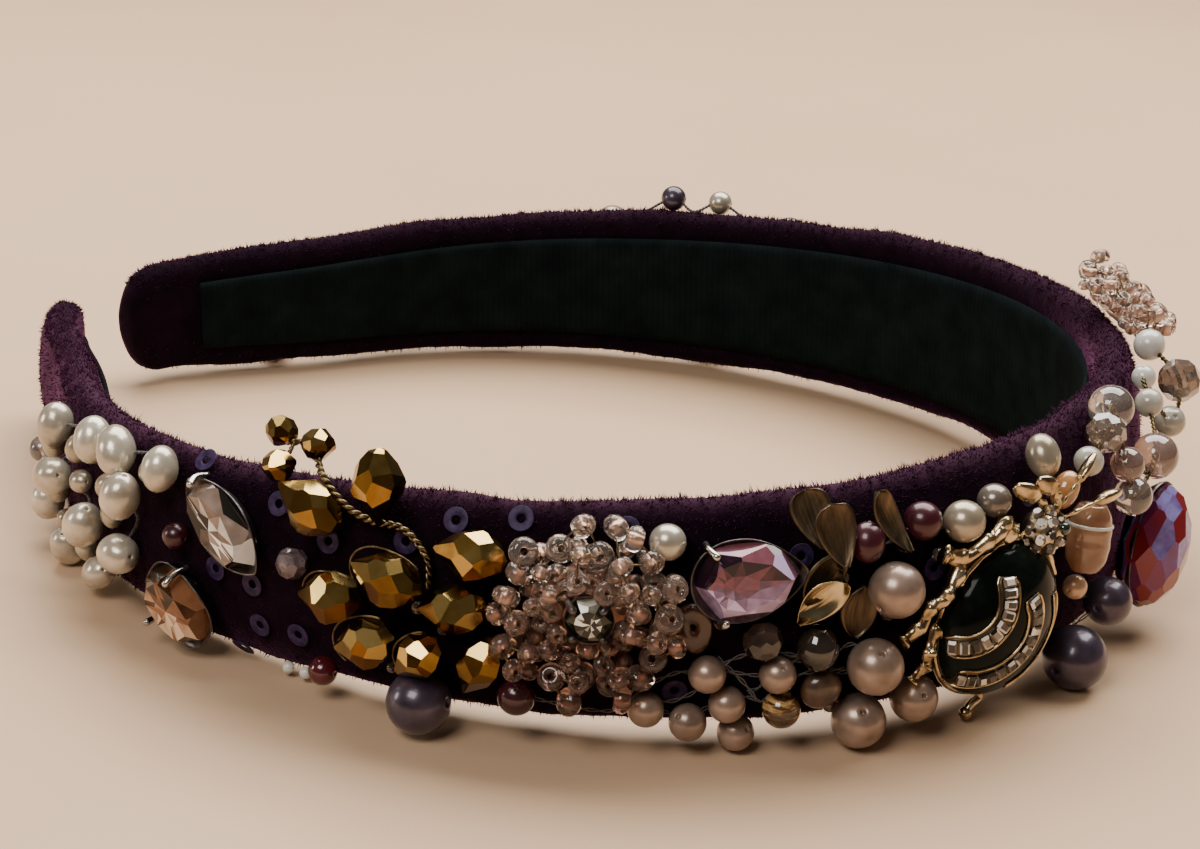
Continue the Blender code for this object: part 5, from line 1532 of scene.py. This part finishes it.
# The small stones' facet colours are painted light and reflections.
pave_glass = painted_facet_glass("pave_glass", (
    (0.40, (0.014, 0.011, 0.008)), (0.68, (0.10, 0.078, 0.058)), (0.90, (0.26, 0.21, 0.165)),
    (1.17, (0.85, 0.80, 0.72))), gloss=0.2)
CHANNEL_STEPS = 90
RAIL_LIFT, RAIL_THICK = 0.12, 0.15
STONE_CHANNEL, STONE_PITCH, STONE_SIZE = 1.5, 1.12, 1.06
rails, floors, pave_spots, pave_axes, pave_sizes = [], [], [], [], []
for flat, wide in CHANNELS:
    line = flowing(flat, CHANNEL_STEPS)
    ends = 0.55 + 0.45 * np.clip(np.sin(math.pi * np.linspace(0.03, 0.97, CHANNEL_STEPS)) * 4, 0, 1)[:, None]
    side = unit(np.gradient(line, axis=0)[:, ::-1] * (1, -1)) * wide / 2 * ends
    spots, normals = on_enamel(line, 0.0)
    rails += [wire(on_enamel(edge, RAIL_LIFT)[0], RAIL_THICK, 7) for edge in (line + side, line - side)]
    shares = (-0.95, -0.5, 0.0, 0.5, 0.95)
    skins = [(share, 0.1) for share in shares] + [(share, -0.3) for share in shares[::-1]]
    bed = [on_enamel(line + side * share, lift)[0] for share, lift in skins]
    floors.append(lofted(np.stack(bed, axis=1)))
    if wide > STONE_CHANNEL:
        length = length_along(spots)
        count = int(length[-1] / STONE_PITCH)
        middles = (np.arange(count) + 0.5) / count * length[-1]
        at = np.interp(middles, length, np.arange(CHANNEL_STEPS)).astype(int)
        way = unit(np.gradient(spots, axis=0)[at])
        normal = normals[at]
        pave_spots.append(spots[at] + normal * 0.28)
        pave_axes.append(np.stack([way, 1.5 * np.cross(normal, way), 1.1 * normal], -1))
        pave_sizes.append(np.full(count, STONE_SIZE))
make_piece("channel_rails", joined(rails), cast_gold)
make_piece("channel_floors", joined(floors), brushed_bronze)
tile = square_stone()


def stones_in_rows(stone, centres, axes, sizes, seed):
    """Many of one stone as a shape, and a painted shade for each facet, thrown round its own."""
    shade = facet_shades(stone, upright_axes, 3, spread=0.0)
    parts = np.split(shade, np.cumsum([len(group) for group in stone[1]])[:-1])
    shades = np.concatenate([np.tile(part, len(centres)) for part in parts])
    thrown = np.random.default_rng(seed).normal(scale=0.26, size=len(shades))
    return strewn(stone, centres, axes, sizes), np.clip(shades + thrown - 0.08, 0, 1)


laid_out = (np.concatenate(item) for item in (pave_spots, pave_axes, pave_sizes))
laid, shades = stones_in_rows(tile, *laid_out, 30)
make_piece("channel_stones", laid, pave_glass, smooth=False, shades=shades)

# The brooch's head. A small gold ball paved with clear stones on a spiral, with one dark green enamel eye,
# soldered to the plate between the feelers and the body.
HEAD = np.array((5.0, 9.4, 2.65))
HEAD_WIDE = 4.7
HEAD_STONES, HEAD_STONE_SIZE = 22, 1.32
# Stones whose direction is nearer to the eye's than this cosine are left out.
EYE_CLEAR = 0.93
steps = np.arange(HEAD_STONES) + 0.5
polar = np.arccos(1 - 1.25 * steps / HEAD_STONES)
swirl = math.pi * (1 + 5**0.5) * steps
way = np.stack([np.sin(polar) * np.cos(swirl), np.sin(polar) * np.sin(swirl), np.cos(polar)], -1)
way = way @ upright_axes.T
head_spot = on_brooch(HEAD)
rightward, upward, outward = upright_axes.T
eye_way = unit(outward * 0.8 + rightward * 0.5 + upward * 0.25)
way = way[way @ eye_way < EYE_CLEAR]
chip_spots = head_spot + way * HEAD_WIDE / 2 * 1.04
chip_sizes = np.full(len(way), HEAD_STONE_SIZE)
chips, shades = stones_in_rows(small_stone(), chip_spots, axes_along(way, upward), chip_sizes, 31)
make_piece("head_stones", chips, pave_glass, smooth=False, shades=shades)
head_ball = pearl_shape(HEAD_WIDE, sides=28, rows=18, hole=0.04)
make_piece("brooch_head", strewn(head_ball, [head_spot], [upright_axes]), cast_gold)
eye_glass = new_finish("dark_green_eye", (0.006, 0.022, 0.016), 0.05, Coat_Weight=1.0, Coat_Roughness=0.02)
clouded(eye_glass, 600.0, ((0.3, (0.003, 0.010, 0.008)), (0.8, (0.012, 0.045, 0.032))))
eye = pearl_shape(1.5, sides=20, rows=14, hole=0.04)
eye = strewn(eye, [head_spot + eye_way * HEAD_WIDE / 2], [axes_along(eye_way, upward)])
make_piece("brooch_eye", eye, eye_glass)

# The stone between the feelers. A small oval cabochon of cloudy orange glass, held by the feelers' stems.
orange_stone = new_finish(
    "orange_cabochon", (0.50, 0.22, 0.07), 0.1, Transmission_Weight=0.2, Coat_Weight=0.9, Coat_Roughness=0.04,
)
clouded(orange_stone, 300.0, ((0.3, (0.30, 0.11, 0.03)), (0.75, (0.66, 0.34, 0.13))))
cabochon = pearl_shape(3.0, 4.4, hole=0.04)
spot = on_brooch((8.6, 13.0, 2.0))
make_piece("feeler_cabochon", strewn(cabochon, [spot], [turned(upright_axes, 62)]), orange_stone)

# Crown beads. Clear, pink, smoky, white and pearly glass beads, the smoky ones faceted, strung round the
# crown on two gold wires twisted together. Columns: along, up, width, lift, glass.
CROWN_BEADS = (
    (12.0, 9.9, 3.4, 0.0, "pearly"),
    (8.6, 12.2, 4.5, 0.3, "smoky"),
    (5.6, 14.0, 5.2, 0.0, "clear"),
    (5.4, 7.6, 4.0, 0.6, "pink"),
    (4.2, 3.4, 4.5, 0.4, "clear"),
    (-1.6, 6.2, 5.4, 0.6, "pink"),
    (-7.0, 10.4, 3.4, 0.2, "pearly"),
    (-10.5, 12.2, 2.9, 0.0, "white"),
    (-15.6, 5.0, 3.8, 1.2, "pearly"),
    (-18.9, 9.0, 5.2, 2.0, "smoky"),
    (-22.7, 12.0, 3.9, 0.3, "white"),
)


def crown_glass(name, dark, light, clear, roughness=0.05):
    """Bead glass: cloudy colour, partly clear, under a hard gloss."""
    made = new_finish(name, light, roughness, Transmission_Weight=clear, Coat_Weight=0.9, Coat_Roughness=0.03)
    clouded(made, 240.0, ((0.3, dark), (0.72, light)))
    return made


CROWN_GLASS = {
    "clear": crown_glass("clear_bead_glass", (0.50, 0.40, 0.35), (0.90, 0.84, 0.78), 0.85),
    "smoky": crown_glass("smoky_bead_glass", (0.14, 0.10, 0.08), (0.48, 0.37, 0.30), 0.7),
    "pink": crown_glass("pink_bead_glass", (0.36, 0.22, 0.18), (0.68, 0.51, 0.45), 0.7),
    "pearly": crown_glass("pearly_bead_glass", (0.40, 0.37, 0.30), (0.66, 0.64, 0.55), 0.3, 0.2),
    "white": crown_glass("white_bead_glass", (0.60, 0.58, 0.53), (0.85, 0.84, 0.80), 0.15, 0.2),
}
crown_spots = []
for number, (along, up, width, lift, tint) in enumerate(CROWN_BEADS):
    spot, axes = seat(along, up, width / 2 + GAP + lift)
    crown_spots.append(spot)
    faceted = tint == "smoky"
    bead = cut_round(width, 120 + number, 10) if faceted else pearl_shape(width, hole=0.15)
    nodes = ["crown_beads"] if number == 0 else []
    bead = strewn(bead, [spot], [turned(axes, 40 * number, 20)])
    make_piece(f"crown_bead_{number + 1}", bead, CROWN_GLASS[tint], nodes, not faceted)
crown_path = flowing(crown_spots, 260)
make_piece("crown_bead_wire", twisted(crown_path, 0.16, 1.2), gold_wire)

# The barrel bead. Peach glass with a pale band round it near its upper end, sewn through its bore so that
# it stands beside the brooch.
peach_glass = new_finish(
    "peach_bead_glass", (0.66, 0.36, 0.20), 0.12,
    Transmission_Weight=0.25, Coat_Weight=0.7, Coat_Roughness=0.05,
)
clouded(peach_glass, 210.0, ((0.3, (0.24, 0.10, 0.045)), (0.72, (0.58, 0.35, 0.215))))
centre, axes = seat(14.4, 2.2, 2.8 + GAP)
axes = turned(axes, 80)
BARREL_WIDE, BARREL_LONG = 5.0, 7.6
rise = np.linspace(-1, 1, 40)
barrel_side = BARREL_WIDE / 2 * (1 - 0.40 * np.abs(rise) ** 3.2) * (1 - 0.012 * np.cos(14 * rise))
barrel_profile = np.stack([barrel_side, BARREL_LONG / 2 * rise], -1)
mouths = np.array([(0.75, 3.75), (0.55, 3.3), (0.0, 3.2)])
barrel = revolved(np.concatenate([mouths[::-1] * (1, -1), barrel_profile, mouths]), 36, closed=False)
barrel = (barrel[0][:, [2, 0, 1]], barrel[1])
barrel = strewn(barrel, [centre], [axes])
make_piece("peach_barrel", barrel, peach_glass, ["peach_barrel_bead"])
spin = full_turn(40)[:, None]
BAND_ALONG, BAND_RADIUS = 1.5, 2.42
band_round = np.cos(spin) * axes[:, 1] + np.sin(spin) * axes[:, 2]
band_ring = centre + BAND_ALONG * axes[:, 0] + BAND_RADIUS * band_round
band_loop = wire(np.concatenate([band_ring, band_ring[:1]]), 0.22, 8)
make_piece("barrel_band", band_loop, CROWN_GLASS["white"])

# Far arm. The side that the photograph hides is finished plainly: one string of champagne pearls that
# wanders over the velvet and rises to its upper edge. Columns: along, up, width, finish.
FAR_ROW = (
    (-38.0, -1.0, 5.0, "champagne"),
    (-47.0, 3.4, 5.0, "champagne"),
    (-57.0, -1.2, 5.0, "cream"),
    (-67.0, 3.4, 5.0, "champagne"),
    (-77.0, -1.2, 5.0, "champagne"),
    (-87.0, 3.4, 5.0, "cream"),
    (-97.0, 7.6, 5.0, "champagne"),
    (-106.0, 12.2, 3.4, "ivory"),
    (-112.6, 12.6, 3.6, "grey_purple"),
    (-122.0, 7.4, 5.0, "champagne"),
    (-132.0, 1.0, 5.0, "cream"),
    (-142.0, 3.0, 5.0, "champagne"),
    (-152.0, -1.0, 4.4, "champagne"),
)
far_spots = []
for number, (along, up, width, tint) in enumerate(FAR_ROW):
    spot, axes = seat(along, up, width / 2 + GAP)
    far_spots.append(spot)
    nodes = ["far_pearl_row"] if number == 0 else []
    bead = strewn(pearl_shape(width), [spot], [axes])
    make_piece(f"far_row_pearl_{number + 1}", bead, lacquers[tint], nodes)
far_path = caught_down(far_spots, [row[:2] for row in FAR_ROW], 0.3)
make_piece("far_row_thread", twisted(flowing(far_path, 600), 0.12, 1.0), thread_finish)

# Tiny beads: white ones on the lower edge beside the crimson bead, brown ones between the drops, and the
# pink crystal beyond the rice pearls. Columns: along, up, width, finish.
TINY_BEADS = (
    (104.2, -11.2, 1.4, "white"), (102.0, -11.4, 1.4, "white"), (86.9, -7.2, 1.3, "smoky"),
    (90.0, -7.2, 1.2, "smoky"),
    (83.9, -1.4, 1.5, "smoky"), (86.6, 0.6, 1.5, "smoky"), (58.0, 2.4, 1.7, "smoky"),
    (44.6, 4.4, 1.6, "smoky"), (39.6, -0.4, 1.7, "smoky"), (33.8, 5.0, 1.6, "smoky"),
    (45.0, -10.6, 1.8, "smoky"), (*PINK_CRYSTAL, "clear"),
)
for tint in ("white", "smoky", "clear"):
    rows = np.array([row[:3] for row in TINY_BEADS if row[3] == tint])
    spots, axes = seat(rows[:, 0], rows[:, 1], rows[:, 2] / 2 + 0.15)
    grains = strewn(pearl_shape(1.0, sides=18, rows=12, hole=0.18), spots, axes, rows[:, 2])
    make_piece(f"tiny_{tint}_beads", grains, CROWN_GLASS[tint])

# The stage. A plain pale floor, a dim warm room, one large soft lamp above and two small soft ones, and the
# camera where the photograph was taken from. It was found on the band's own axes, so it shares their tilt.
floor_finish = new_finish("pale_floor", (0.60, 0.40, 0.25), 0.6)
clouded(floor_finish, 6.0, ((0.3, (0.57, 0.375, 0.23)), (0.7, (0.64, 0.43, 0.275))))
floor_mesh = bpy.data.meshes.new("floor")
FLOOR_HALF = 3.0
floor_corners = np.array([(-1, -1, 0), (1, -1, 0), (1, 1, 0), (-1, 1, 0)]) * FLOOR_HALF
floor_mesh.from_pydata(floor_corners.tolist(), [], [(0, 1, 2, 3)])
floor_mesh.materials.append(floor_finish)
floor = bpy.data.objects.new("floor", floor_mesh)
bpy.context.scene.collection.objects.link(floor)

world = bpy.data.worlds.new("soft_room")
world.use_nodes = True
ROOM_COLOUR, ROOM_STRENGTH = (0.95, 0.84, 0.72, 1.0), 0.10
world.node_tree.nodes["Background"].inputs["Color"].default_value = ROOM_COLOUR
world.node_tree.nodes["Background"].inputs["Strength"].default_value = ROOM_STRENGTH
bpy.context.scene.world = world


def world_matrix(place, axes):
    """A world matrix from a place and axes, as Blender takes it."""
    matrix = np.eye(4)
    matrix[:3, :3] = axes
    matrix[:3, 3] = place
    return matrix.T.tolist()


# Columns: name, place, aim, width and depth in metres, watts, colour.
LAMPS = (
    ("window_above", (-0.05, 0.26, 0.50), (0.0, 0.0, 0.0), 0.78, 0.46, 10.4, (1.0, 0.96, 0.90)),
    ("window_front", (-0.02, -0.44, 0.44), (0.0, -0.03, 0.01), 0.28, 0.22, 2.0, (1.0, 0.95, 0.88)),
    ("window_left", (-0.50, -0.30, 0.16), (0.0, -0.03, 0.01), 0.12, 0.16, 0.7, (1.0, 0.94, 0.86)),
)
for name, place, aim, wide, deep, watts, colour in LAMPS:
    lamp = bpy.data.lights.new(name, "AREA")
    lamp.shape = "RECTANGLE"
    lamp.size, lamp.size_y, lamp.energy, lamp.color = wide, deep, watts, colour
    holder = bpy.data.objects.new(name, lamp)
    bpy.context.scene.collection.objects.link(holder)
    back = unit(np.array(place) - np.array(aim))
    holder.matrix_world = world_matrix(place, axes_along(back, -STRAIGHT_UP))

CAMERA_PLACE = np.array((176.5, -287.9, 115.5))
CAMERA_TURN = math.radians(26.47)
CAMERA_PITCH = math.radians(19.87)
FOCAL_PIXELS = 2713
PHOTO_WIDE = 1200
SENSOR = 36.0
level_ahead = np.array([-math.sin(CAMERA_TURN), math.cos(CAMERA_TURN), 0.0])
ahead = level_ahead * math.cos(CAMERA_PITCH) - STRAIGHT_UP * math.sin(CAMERA_PITCH)
rightward = np.array([math.cos(CAMERA_TURN), math.sin(CAMERA_TURN), 0.0])
camera_axes = TILT @ np.stack([rightward, np.cross(rightward, ahead), -ahead], -1)
lens = bpy.data.cameras.new("photo_camera")
lens.sensor_width = SENSOR
lens.lens = FOCAL_PIXELS / PHOTO_WIDE * SENSOR
lens.clip_start = 0.01
camera = bpy.data.objects.new("photo_camera", lens)
bpy.context.scene.collection.objects.link(camera)
camera.matrix_world = world_matrix(settled(CAMERA_PLACE), camera_axes)
bpy.context.scene.camera = camera
